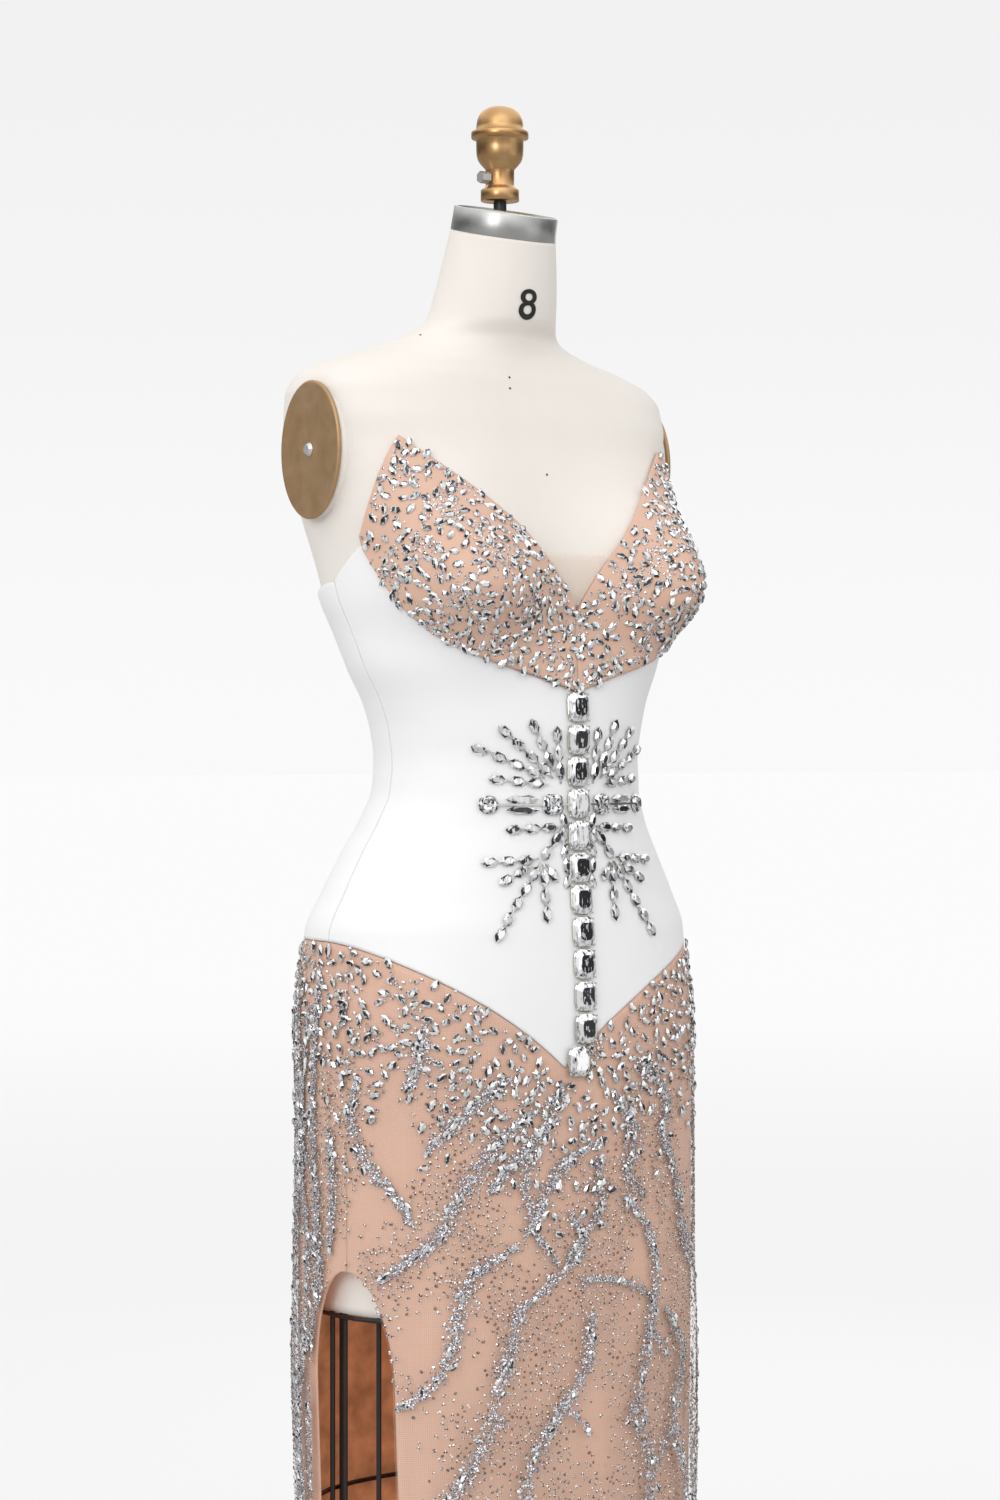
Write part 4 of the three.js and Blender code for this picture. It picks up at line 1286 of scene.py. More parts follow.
COLUMN_RIM = StoneCut("column_rim", CUSHION_OUTLINE, 11.7, 13.3, ((0.96, 0.0), (1.0, 2.0), (0.95, 2.7)))
COLUMN_STONE = StoneCut(
    "column_stone", CUSHION_OUTLINE, 10.9, 12.5, ((0.94, 2.3), (1.0, 3.1), (0.8, 5.0), (0.6, 6.0)),
    stepped=True,
)
BAR_LAYERS = ((0.94, 0.8), (1.0, 2.9), (0.8, 4.7), (0.6, 5.6), (0.5, 5.2))
SQUARE_STONE = StoneCut("square_stone", CUSHION_OUTLINE, 9.6, 9.0, BAR_LAYERS, 4.2)
ROUND_STONE = StoneCut("round_stone", regular_outline(12), 9.0, 8.2, BAR_LAYERS, 4.2)
LEAF_STONE = StoneCut("bar_leaf", LEAF_OUTLINE, 15.2, 4.5, ((0.92, 0.7), (1.0, 2.4), (0.6, 4.6)))


@dataclass
class StoneBed:
    """Places of many like stones, collected before one tree lays them all."""

    points: list[Array] = field(default_factory=list)
    facing: list[Array] = field(default_factory=list)
    along: list[Array] = field(default_factory=list)
    size: list[Array] = field(default_factory=list)
    tint: list[Array] = field(default_factory=list)

    def add(self, points: Array, facing: Array, along: Array, size: Array, tint: Array) -> None:
        """Adds places, each with its outward direction, length direction, size and tint.

        Args:
            points: Places in millimetres.
            facing: Outward directions.
            along: Directions of the stones' lengths.
            size: One scale for each stone, or three for length, width and rise.
            tint: A number from 0 to 1 for each stone's own facet light.
        """
        size = np.asarray(size, float)
        sizes = size if size.ndim == 2 else size[:, None]
        self.points.append(np.atleast_2d(points))
        self.facing.append(np.atleast_2d(facing))
        self.along.append(np.atleast_2d(along))
        self.size.append(np.broadcast_to(sizes, np.atleast_2d(points).shape))
        self.tint.append(np.atleast_1d(tint))

    def lay(self, name: str, beading: Beading, cut: StoneCut, finish: Material) -> Thing:
        """Lays a stone on every place.

        Args:
            name: The piece's name.
            beading: The trees.
            cut: The stone.
            finish: Its material.

        Returns:
            The stones as one mesh.
        """
        base = new_object(name + "_places", np.concatenate(self.points), [])
        add_value(base, "facing", np.concatenate(self.facing), "FLOAT_VECTOR")
        add_value(base, "along", np.concatenate(self.along), "FLOAT_VECTOR")
        add_value(base, "size", np.concatenate(self.size), "FLOAT_VECTOR")
        add_value(base, "tint", np.concatenate(self.tint))
        template = cut.template()
        piece = run_tree(name, base, beading.placed, Stone=template, Finish=finish)
        bpy.data.objects.remove(template)
        return piece


def turn_past(start: Array, middle: Array | float, end: Array, share: Array) -> Array:
    """Turn of a panel's column, with the middle column on a given turn."""
    return np.where(share < 0.5, mix(start, middle, 2 * share), mix(middle, end, 2 * share - 1))


@dataclass
class ClothPanel:
    """A panel between two turns and two edges, with its creases and fineness."""

    name: str
    start: Edge
    end: Edge
    bottom: Edge
    top: Edge
    surface: Surface
    inner: float
    outer: float
    columns: int
    rows: int
    creases: tuple[Crease, ...] = ()
    point_shift: float = 0.0

    def places(self) -> tuple[Array, Array]:
        """Turns and levels of the panel's grid, rows from the foot up.

        Returns:
            Grids of turns and levels.
        """
        across = np.linspace(0, 1, self.columns + 1)[None, :]
        up = np.linspace(0, 1, self.rows + 1)[:, None]
        start, end = self.start(0 * up), self.end(0 * up)
        foot = turn_past(start, (start + end) / 2 + self.point_shift, end, across)
        top = turn_past(start, (start + end) / 2, end, across)
        return mix(foot, top, up), mix(self.bottom(foot), self.top(top), up)

    def lift(self, turn: Array, level: Array) -> Array:
        """How far the creases raise the panel.

        Args:
            turn: Turns round the body.
            level: Levels above the floor.

        Returns:
            The lift at each place.
        """
        total = np.zeros(turn.shape)
        for crease in self.creases:
            total = total + crease.height(turn / DEGREE, level)
        return total

    def face(self, distance: Array | float) -> tuple[Array, Array]:
        """Grid of points at a distance off the surface, creases included, and their normals."""
        turn, level = self.places()
        return stand_off(self.surface, turn, level, distance + self.lift(turn, level))

    def cloth_map(self) -> Array:
        """Places along the cloth: the way round at a mean radius, and the level."""
        turn, level = self.places()
        return np.stack([turn * MEAN_RADIUS, level], axis=-1)

    def build(self) -> Thing:
        """The panel as a closed wall."""
        return wall_object(self.name, self.face(self.outer)[0], self.face(self.inner)[0], self.cloth_map())

    def sheet(self, distance: Array | float, name: str) -> Thing:
        """The panel as one open layer.

        Args:
            distance: How far off the surface the layer lies.
            name: The layer's name.

        Returns:
            The layer.
        """
        points = self.face(distance)[0]
        thing = new_object(name, points, grid_faces(points.shape[0] - 1, points.shape[1] - 1))
        add_map(thing, self.cloth_map())
        return thing


@dataclass
class SkirtPanel(ClothPanel):
    """A skirt panel: close rows round the slit's arch, even rows above it up to the hip seam."""

    low_rows: int = 26
    arch_rows: int = 26
    middle: float | None = None

    def places(self) -> tuple[Array, Array]:
        """Turns and levels of the panel's grid.

        Returns:
            Grids of turns and levels.
        """
        arch_foot = SHAPE.slit_top - SHAPE.slit_arch
        low = np.linspace(SHAPE.hem, arch_foot, self.low_rows + 1)[:-1]
        arch = SHAPE.slit_top - SHAPE.slit_arch * np.linspace(1, 0, self.arch_rows + 1) ** 2
        fixed = np.concatenate([low, arch, np.full(self.rows, SHAPE.slit_top + 0.4)])[:, None]
        across = np.linspace(0, 1, self.columns + 1)[None, :]
        start, end = self.start(fixed), self.end(fixed)
        middle = (start + end) / 2 if self.middle is None else self.middle
        turn = turn_past(start, middle, end, across)
        still = np.zeros(len(low) + len(arch))
        climb = np.concatenate([still, np.linspace(0, 1, self.rows + 1)[1:]])[:, None]
        return turn, mix(fixed, self.top(turn), climb)


SEAM_TURN = 0.0013


def skirt_edges(panel: Panel) -> tuple[Edge, Edge]:
    """The turns where a skirt panel starts and ends at each level.

    Args:
        panel: Which panel.

    Returns:
        The turn of its start and the turn of its end, each by level.
    """
    side = SHAPE.skirt_side_turn * DEGREE
    if panel is Panel.FRONT:
        return (
            lambda level: -side + SEAM_TURN + SHAPE.slit_half(level, SHAPE.slit_extra_turn),
            lambda level: side - SEAM_TURN + 0 * level,
        )
    if panel is Panel.BACK_LEFT:
        return (lambda level: side + SEAM_TURN + 0 * level, lambda level: math.pi - SEAM_TURN + 0 * level)
    return (
        lambda level: -math.pi + SEAM_TURN + 0 * level,
        lambda level: -side - SEAM_TURN - SHAPE.slit_half(level, 0.0),
    )


@dataclass(frozen=True)
class Strewing:
    """How one kind of stone is strewn: which, how far apart, how many, how large and how askew."""

    word: str
    cut: StoneCut
    finish: str
    spacing: float
    density: float
    smallest: float
    largest: float
    lean: float


@dataclass
class Assembly:
    """Pieces that are built together, with the shared finishes and trees."""

    wardrobe: Wardrobe
    beading: Beading

    def build(self) -> None:
        """Builds the pieces."""
        raise NotImplementedError

    def strew(self, name: str, base: Thing, cover: Array, kind: Strewing, seed: int) -> None:
        """Strews one kind of stone over a layer.

        Args:
            name: The piece's name.
            base: The layer, which is used up.
            cover: How densely each of its points is covered.
            kind: The stones.
            seed: The seed of their places.
        """
        add_value(base, "cover", cover)
        template = kind.cut.template()
        piece = run_tree(
            name, base, self.beading.strewn, Stone=template, Finish=self.wardrobe[kind.finish],
            Spacing=kind.spacing * MM, Density=kind.density, Smallest=kind.smallest,
            Largest=kind.largest, Lean=kind.lean, Seed=seed,
        )
        bpy.data.objects.remove(template)
        place_piece(piece, "crystal")


@dataclass
class Bodice(Assembly):
    """The white bodice: a front and two backs, smooth over the waist."""

    wall: float = 1.6
    seam_gap: float = 0.9
    zip_turn: float = 0.0219
    creases: tuple[Crease, ...] = (
        Crease(-62, 1062, 30, 7, 0.5, 74), Crease(-55, 1096, 36, 8, -0.5, 80),
        Crease(58, 1070, 34, 8, 0.5, -76), Crease(64, 1100, 30, 7, -0.4, -82),
        Crease(118, 1078, 34, 8, 0.6, 78), Crease(-122, 1082, 38, 9, 0.6, -80),
        Crease(140, 1050, 30, 8, -0.5, 70), Crease(-146, 1098, 30, 8, -0.5, -74),
    )
    seams: tuple[float, ...] = (-62.0, -30.0, 30.0, 62.0, 118.0, -118.0)

    def build(self) -> None:
        """Builds and dresses the three panels."""
        side = SHAPE.side_turn * DEGREE
        panels = {
            "front": (-side + SEAM_TURN, side - SEAM_TURN, 150, (0.52, 0.47), 0.155),
            "back_left": (side + SEAM_TURN, math.pi - self.zip_turn, 70, (0.25, 0.32), 0.062),
            "back_right": (-math.pi + self.zip_turn, -side - SEAM_TURN, 70, (0.25, 0.32), 0.062),
        }
        seams = tuple(Crease(turn, 1040, 260, 0.9, -0.35) for turn in self.seams)
        for word, (start, end, columns, flat, area) in panels.items():
            panel = ClothPanel(
                name=f"bodice_{word}_cloth",
                start=lambda level, turn=start: turn + 0 * level,
                end=lambda level, turn=end: turn + 0 * level,
                bottom=lambda turn: SHAPE.hip_seam(turn) + self.seam_gap,
                top=SHAPE.bodice_upper,
                surface=SHAPE.body,
                inner=0.0,
                outer=self.wall,
                columns=columns,
                rows=110,
                creases=self.creases + seams,
                point_shift=SHAPE.hip_point_turn * DEGREE if word == "front" else 0.0,
            )
            piece = self.wardrobe.dress(panel.build(), "white_crepe", "white_crepe")
            place_piece(piece, "white_cloth", f"bodice_{word}")


@dataclass
class Cups(Assembly):
    """The nude cups with their dense stones and small sequins."""

    wall: float = 3.2
    round_radius: float = 185.0
    stand: float = 1.8
    columns: int = 64
    rows: int = 44

    def panel(self, side: Side) -> ClothPanel:
        """One cup's panel, from the centre front out to its corner.

        Args:
            side: The wearer's side.

        Returns:
            The cup's panel.
        """
        inner, outer = SEAM_TURN, (SHAPE.corner_turn - 0.6) * DEGREE
        start, end = (inner, outer) if side is Side.LEFT else (-outer, -inner)
        return ClothPanel(
            name=f"cup_{side.word}_cloth",
            start=lambda level: start + 0 * level,
            end=lambda level: end + 0 * level,
            bottom=SHAPE.cup_lower,
            top=SHAPE.cup_upper,
            surface=SHAPE.body,
            inner=self.stand,
            outer=self.stand + self.wall,
            columns=self.columns,
            rows=self.rows,
        )

    def build(self) -> None:
        """Builds both cups and strews their stones."""
        for side in Side:
            panel = self.panel(side)
            piece = self.wardrobe.dress(panel.build(), "nude_cup", "nude_cup")
            place_piece(piece, "nude_cloth", f"cup_{side.word}")
            self.strew_cup(panel, side)

    def strew_cup(self, panel: ClothPanel, side: Side) -> None:
        """Strews marquise stones, beads and sequins over one cup.

        Args:
            panel: The cup's panel.
            side: The wearer's side.
        """
        turn, level = panel.places()
        to_upper, to_lower = SHAPE.cup_upper(turn) - level, level - SHAPE.cup_lower(turn)
        to_side = (SHAPE.corner_turn * DEGREE - np.abs(turn)) * self.round_radius
        bare_side = smooth((to_side - 4) / 4)
        patches = 0.5 + 0.5 * np.sin(turn * 17 + 0.8) * np.sin(level * 0.09 + 3 * turn)
        kinds = (
            (Strewing("stones", MARQUISE, "foiled_glass", 7.9, 26000.0, 0.88, 1.1, 0.14), 1.6, 1.0),
            (Strewing("beads", BEAD, "foiled_glass", 4.0, 40000.0, 0.8, 1.2, 0.3), 2.5, patches**1.5),
            (Strewing("sequins", SEQUIN, "silver_sequin", 2.6, 90000.0, 0.9, 1.2, 0.35), 2.5, patches**2),
        )
        for number, (kind, margin, cover) in enumerate(kinds):
            name = f"cup_{side.word}_{kind.word}"
            base = panel.sheet(panel.outer, name + "_bed")
            edges = smooth((to_upper - margin) / 1.5) * smooth((to_lower + 3) / 4)
            self.strew(name, base, edges * bare_side * cover, kind, 11 + 7 * number + side.value)


@dataclass
class PlungeNet(Assembly):
    """The sheer net at the foot of the neckline."""

    foot_rise: float = 8.0
    top: float = 1264.0
    edge_turn: float = 0.006

    def build(self) -> None:
        """Builds the net between the cups."""
        level = np.linspace(SHAPE.cup_notch + self.foot_rise, self.top, 31)[:, None]
        share = (level - SHAPE.cup_notch) / (SHAPE.cup_tip - SHAPE.cup_notch)
        half = SHAPE.tip_turn * DEGREE * share ** (1 / SHAPE.cup_bend) - self.edge_turn
        turn = half * np.linspace(-1, 1, 31)[None, :]
        level = level + 0 * turn
        points = stand_off(SHAPE.body, turn, level, 1.8 + 1.1 + 0 * turn)[0]
        thing = new_object("plunge_net_cloth", points, grid_faces(30, 30))
        add_map(thing, np.stack([turn * 120, level], axis=-1))
        place_piece(self.wardrobe.dress(thing, "nude_net"), "sheer_net", "plunge_net")


@dataclass
class Skirt(Assembly):
    """The skirt: nude lining under a sheer net, in three panels each."""

    lining_wall: float = 1.2
    creases: tuple[Crease, ...] = (
        Crease(-52, 430, 210, 9, -2.2, 2), Crease(-38, 360, 240, 8, 2.4, -2),
        Crease(-22, 300, 230, 10, -2.4, 3), Crease(8, 330, 230, 9, 2.0, -3),
        Crease(30, 280, 220, 10, -2.2, 2), Crease(56, 340, 230, 9, 1.8, -2),
        Crease(100, 320, 240, 9, 2.2, 2), Crease(124, 300, 220, 9, -2.2, -2),
        Crease(150, 360, 240, 9, 2.4, 3), Crease(-112, 320, 230, 9, -2.0, -2),
        Crease(-134, 340, 240, 9, 2.4, 2), Crease(-156, 300, 220, 9, -2.2, 3),
        Crease(-40, 500, 60, 5, 0.9, 78), Crease(-30, 470, 70, 5, -0.8, 82),
        Crease(20, 520, 70, 6, 0.8, -80),
    )

    def panel(self, word: Panel, name: str, columns: int) -> SkirtPanel:
        """One panel of the lining's own surface.

        Args:
            word: Which panel.
            name: The piece's name.
            columns: Quads across the grid.

        Returns:
            The panel.
        """
        start, end = skirt_edges(word)
        return SkirtPanel(
            name=name, start=start, end=end, bottom=lambda turn: SHAPE.hem + 0 * turn,
            top=SHAPE.hip_seam, surface=SHAPE.skirt, inner=0.0, outer=self.lining_wall,
            columns=columns, rows=44, creases=self.creases,
            middle=SHAPE.hip_point_turn * DEGREE if word is Panel.FRONT else None,
        )

    def on_net(self, turn: Array, level: Array, rise: float) -> tuple[Array, Array]:
        """Points and normals on the net at some places, a little off it.

        Args:
            turn: Turns round the body.
            level: Levels above the floor.
            rise: How far off the net.

        Returns:
            The points and the net's outward normals.
        """
        lift = sum(crease.height(turn / DEGREE, level) for crease in self.creases)
        out = self.lining_wall + SHAPE.net_out(turn, level) + lift + rise
        return stand_off(SHAPE.skirt, turn, level, out)

    def build(self) -> None:
        """Builds lining and net."""
        cuts = {
            Panel.FRONT: ((0.56, 0.9), 0.395, 120), Panel.BACK_LEFT: ((0.36, 0.92), 0.30, 80),
            Panel.BACK_RIGHT: ((0.36, 0.92), 0.27, 80),
        }
        for word, (flat, area, columns) in cuts.items():
            lining = self.panel(word, f"skirt_lining_{word.value}_cloth", columns)
            # The lining's inner faces take the finish with painted glow and painted sequin shadows.
            piece = self.wardrobe.dress(lining.build(), "nude_lining", "nude_inside")
            place_piece(piece, "nude_cloth", f"skirt_lining_{word.value}")
            net = self.panel(word, f"skirt_net_{word.value}_cloth", columns + 20)
            turn, level = net.places()
            sheet = net.sheet(self.lining_wall + SHAPE.net_out(turn, level) + 0.5, net.name)
            place_piece(self.wardrobe.dress(sheet, "silver_net"), "sheer_net", f"skirt_net_{word.value}")


@dataclass(frozen=True)
class Vine:
    """A trail of sequins down the skirt: the turns in degrees and levels that it passes, and its width."""

    route: tuple[tuple[float, float], ...]
    width: float = 19.0

    def path(self, steps: int = 160) -> tuple[Array, Array]:
        """Turns in degrees and levels along a smooth curve through the route.

        Args:
            steps: How many places.

        Returns:
            The turns and the levels.
        """
        knots = np.array(self.route, float)
        ends = np.concatenate([[2 * knots[0] - knots[1]], knots, [2 * knots[-1] - knots[-2]]])
        spans = len(knots) - 1
        s = np.linspace(0, spans, steps)
        i = np.minimum(s.astype(int), spans - 1)
        t = (s - i)[:, None]
        a, b, c, d = (ends[i + k] for k in range(4))
        square, cube = 2 * a - 5 * b + 4 * c - d, 3 * b - a - 3 * c + d
        curve = 0.5 * (2 * b + (c - a) * t + square * t**2 + cube * t**3)
        return curve[:, 0], curve[:, 1]


@dataclass
class SkirtBeading(Assembly):
    """Stones near the hip seam, sequin trails with their side twigs, and loose sequins between."""

    vines: tuple[Vine, ...] = (
        Vine(((-24, 816), (-35, 790), (-47, 756)), 20),
        Vine(((-17, 788), (-30, 755), (-38, 714), (-45, 680), (-62, 646)), 19),
        Vine(((-70, 818), (-73, 782), (-67, 748), (-57, 720), (-51, 694)), 18),
        Vine(((-47, 864), (-49, 832), (-53, 806)), 18),
        Vine(((-20, 770), (-19, 712), (-16, 682), (-10, 656)), 14),
        Vine(((6, 760), (-8, 742), (-15, 706), (-20, 682))),
        Vine(((-8, 806), (-14, 770), (-24, 742), (-30, 720)), 20),
        Vine(((8, 800), (16, 770), (14, 730), (20, 706)), 18),
        Vine(((20, 826), (30, 790), (28, 760), (33, 730)), 18),
        Vine(((-6, 700), (-2, 672), (-12, 640), (-20, 622)), 16),
        Vine(((27, 768), (35, 716), (40, 660), (51, 626), (57, 530), (51, 400), (60, 250), (54, 100)), 17),
        Vine(((3, 746), (4, 702), (-7, 660)), 13),
        Vine((
            (12, 712), (21, 680), (25, 640), (23, 600), (18, 530), (22, 450), (15, 350), (22, 230), (15, 90),
        ), 18),
        Vine(((-3, 640), (10, 638), (22, 620)), 13),
        Vine(((-21, 624), (-25, 582), (-29, 540), (-34, 498), (-43, 456), (-52, 400)), 18),
        Vine(((-22, 674), (-34, 652), (-38, 618), (-40, 588), (-45, 560), (-56, 538)), 18),
        Vine((
            (1, 612), (-1, 566), (-10, 530), (-16, 500), (-20, 455), (-13, 360), (-20, 240), (-13, 90),
        ), 18),
        Vine(((30, 604), (38, 564), (33, 510), (40, 420), (33, 300), (42, 150))),
        Vine(((46, 562), (46, 460), (60, 340)), 14),
        Vine(((-32, 410), (-38, 300), (-33, 200), (-42, 80)), 17),
        Vine(((2, 430), (6, 320), (0, 220), (6, 110))),
        Vine(((60, 880), (66, 800), (63, 700), (70, 610))),
        Vine(((-84, 772), (-82, 716), (-84, 666)), 17),
        Vine(((-92, 900), (-95, 780), (-91, 640), (-96, 500), (-92, 350), (-96, 180), (-92, 70)), 22),
        Vine(((-110, 900), (-107, 780), (-112, 640), (-107, 480), (-111, 340), (-107, 200), (-111, 80)), 22),
        Vine(((-99, 872), (-105, 760), (-99, 640), (-106, 500), (-99, 330), (-104, 90)), 18),
        Vine(((-118, 850), (-112, 740), (-120, 600), (-113, 460), (-122, 300), (-116, 120)), 17),
        Vine(((-136, 880), (-130, 770), (-140, 640), (-133, 520), (-142, 380))),
        Vine(((-154, 860), (-150, 730), (-158, 590), (-150, 430), (-160, 260), (-152, 100)), 17),
        Vine(((-172, 800), (-168, 660), (-173, 500), (-167, 350))),
        Vine(((86, 860), (92, 740), (86, 620), (94, 480), (88, 330), (95, 130)), 17),
        Vine(((104, 884), (112, 780), (107, 660), (118, 550))),
        Vine(((121, 850), (127, 700), (120, 540), (129, 380), (122, 220), (129, 90)), 17),
        Vine(((139, 876), (144, 760), (153, 640), (147, 520), (157, 390))),
        Vine(((162, 830), (166, 660), (159, 480), (168, 300), (161, 110)), 17),
    )
    bare: tuple[tuple[float, float, float, float], ...] = (
        (-58, 762, 12, 46), (-50, 596, 9, 40), (-66, 700, 10, 30), (-52, 490, 8, 60), (45, 760, 7, 40),
        (-134, 700, 9, 50), (98, 560, 8, 60), (150, 480, 9, 60), (-100, 420, 6, 70),
    )
    per_mm: float = 2.5
    stones_per_mm: float = 0.06
    usual_width: float = 16.0
    bed_rise: float = 0.7
    stone_rise: float = 0.8
    sequin_rise: float = 1.2
    hem_margin: float = 14.0
    hip_margin: float = 4.0
    edge_turn: float = 0.012
    twig_pitch: float = 105.0
    twig_length: float = 46.0
    seed: int = 2024

    def trails(self) -> list[tuple[Array, Array, float]]:
        """Every trail and side twig: its turns, its levels and its width.

        Returns:
            Turns, levels and width of each trail.
        """
        found = []
        for number, vine in enumerate(self.vines):
            degrees, level = vine.path()
            found.append((degrees, level, vine.width))
            steps = np.hypot(np.diff(degrees) * MM_PER_DEGREE, np.diff(level))
            length = np.concatenate([[0], np.cumsum(steps)])
            for step in range(1, int(length[-1] / self.twig_pitch)):
                at = (step + 0.3 * math.sin(number + 2.1 * step)) * self.twig_pitch
                i = int(np.searchsorted(length, at))
                side = 1 if (step + number) % 2 else -1
                reach = self.twig_length * (0.65 + 0.35 * math.sin(3.3 * step + number))
                heading = side * (0.95 - 0.45 * np.linspace(0, 1, 30))
                away = degrees[i] + np.cumsum(np.sin(heading)) * reach / 30 / MM_PER_DEGREE
                down = level[i] - np.cumsum(np.cos(heading)) * reach / 30
                found.append((away, down, vine.width * 0.6))
        return found

    def build(self) -> None:
        """Lays every bead of the skirt, panel by panel."""
        self.strew_panels()
        self.lay_trails()

    def strew_panels(self) -> None:
        """Strews stones under the hip seam and loose sequins over the panels."""
        skirt = Skirt(self.wardrobe, self.beading)
        for number, word in enumerate(Panel):
            panel = skirt.panel(word, "bed", 60)
            turn, level = panel.places()
            out = skirt.lining_wall + SHAPE.net_out(turn, level) + self.bed_rise
            below = SHAPE.hip_seam(turn) - level
            degrees = turn / DEGREE
            uneven = 0.55 + 0.45 * np.sin(turn * 9 + 1.3) * np.sin(level * 0.021 + 2 * turn)
            crossing = np.sin(level * 0.043 - degrees * 0.11)
            clusters = 0.5 + 0.5 * np.sin(degrees * 0.23 + level * 0.05) * crossing
            stones = np.clip(1.3 * np.exp(-((below / 104) ** 2.2)) + 0.12 * smooth((190 - below) / 60), 0, 1)
            stones = stones * smooth((below - 1.5) / 3)
            beads = np.exp(-((below / 85) ** 2)) * smooth((below - 3) / 4) * clusters**1.5
            loose = smooth((below - 40) / 90) * np.clip(uneven * 1.8 - 0.1, 0.08, 1)
            loose = loose * smooth((level - 40) / 60)
            for spot, height, spread, reach in self.bare:
                away = ((degrees - spot) / spread) ** 2 + ((level - height) / reach) ** 2
                loose = loose * (1 - np.exp(-(away**1.5)))
            kinds = (
                (Strewing("stones", MARQUISE, "foiled_glass", 8.4, 15000.0, 0.84, 1.12, 0.14), stones),
                (Strewing("beads", BEAD, "foiled_glass", 3.4, 70000.0, 0.8, 1.3, 0.3), beads),
                (Strewing("sequins", SEQUIN, "clear_sequin", 3.7, 90000.0, 0.9, 1.25, 0.4), loose),
            )
            for step, (kind, cover) in enumerate(kinds):
                name = f"skirt_{word.value}_{kind.word}"
                self.strew(name, panel.sheet(out, name + "_bed"), cover, kind, 40 + 5 * number + step)

    def lay_trails(self) -> None:
        """Lays the trails' sequins, beads and small stones."""
        chance = np.random.default_rng(self.seed)
        beds = {(word, kind): StoneBed() for word in Panel for kind in ("sequins", "stones")}
        for degrees, level, width in self.trails():
            steps = np.hypot(np.diff(degrees) * MM_PER_DEGREE, np.diff(level))
            length = np.concatenate([[0], np.cumsum(steps)])
            for kind, per_mm in (("sequins", self.per_mm), ("stones", self.stones_per_mm)):
                count = int(length[-1] * (per_mm * width / self.usual_width))
                at = np.sort(chance.uniform(0, length[-1], count))
                share = at / length[-1]
                half = width * 0.62 * np.sin(math.pi * np.clip(share * 0.94 + 0.06, 0, 1)) ** 0.5
                beside = np.clip(chance.normal(0, 0.42, count), -1.1, 1.1) * half
                turn = np.interp(at, length, degrees) + beside / MM_PER_DEGREE
                z = np.interp(at, length, level) + chance.normal(0, 1.5, count)
                ahead = np.interp(at + 2, length, degrees) - np.interp(at - 2, length, degrees)
                down = np.interp(at + 2, length, level) - np.interp(at - 2, length, level)
                slant = np.arctan2(down, ahead * MM_PER_DEGREE) + chance.normal(0, 0.5, count)
                self.sort_places(beds, kind, turn * DEGREE, z, slant, chance)
        for (word, kind), bed in beds.items():
            if bed.points:
                cut, finish = (SEQUIN, "silver_sequin") if kind == "sequins" else (MARQUISE, "foiled_glass")
                piece = bed.lay(f"trail_{word.value}_{kind}", self.beading, cut, self.wardrobe[finish])
                place_piece(piece, "crystal")

    def sort_places(
        self, beds: dict[tuple[Panel, str], StoneBed], kind: str, turn: Array, level: Array,
        slant: Array, chance: np.random.Generator,
    ) -> None:
        """Puts places into the beds of the panels that they lie on.

        Args:
            beds: The beds, by panel and kind.
            kind: Sequins or stones.
            turn: Turns of the places.
            level: Their levels.
            slant: Which way each lies on the cloth.
            chance: The source of the small random leans and sizes.
        """
        skirt = Skirt(self.wardrobe, self.beading)
        rise = self.stone_rise if kind == "stones" else self.sequin_rise
        points, normal = skirt.on_net(turn, level, rise)
        side = unit(np.cross(np.array([0.0, 0.0, 1.0]), normal))
        up = np.cross(normal, side)
        along = side * np.cos(slant)[:, None] + up * np.sin(slant)[:, None]
        lean = 0.3 if kind == "sequins" else 0.12
        facing = unit(normal + lean * chance.normal(0, 1, normal.shape))
        low, high = (0.75, 1.15) if kind == "sequins" else (0.6, 0.95)
        size = chance.uniform(low, high, len(turn))
        tint = chance.uniform(0, 1, len(turn))
        free = (level > SHAPE.hem + self.hem_margin) & (level < SHAPE.hip_seam(turn) - self.hip_margin)
        for word in Panel:
            start, end = skirt_edges(word)
            inside = free & (turn > start(level) + self.edge_turn) & (turn < end(level) - self.edge_turn)
            if inside.any():
                picked = [values[inside] for values in (points, facing, along, size, tint)]
                beds[word, kind].add(*picked)


@dataclass(frozen=True)
class Twig:
    """A twig of pointed stones: its root, slant in degrees, first stone and how many."""

    x: float
    z: float
    slant: float
    first: float
    stones: int


@dataclass(frozen=True)
class Spot:
    """Where a stone of the spray lies: across, level, slant in degrees, lift and length."""

    x: float
    z: float
    slant: float = 0.0
    lift: float = 0.0
    length: float = 1.0


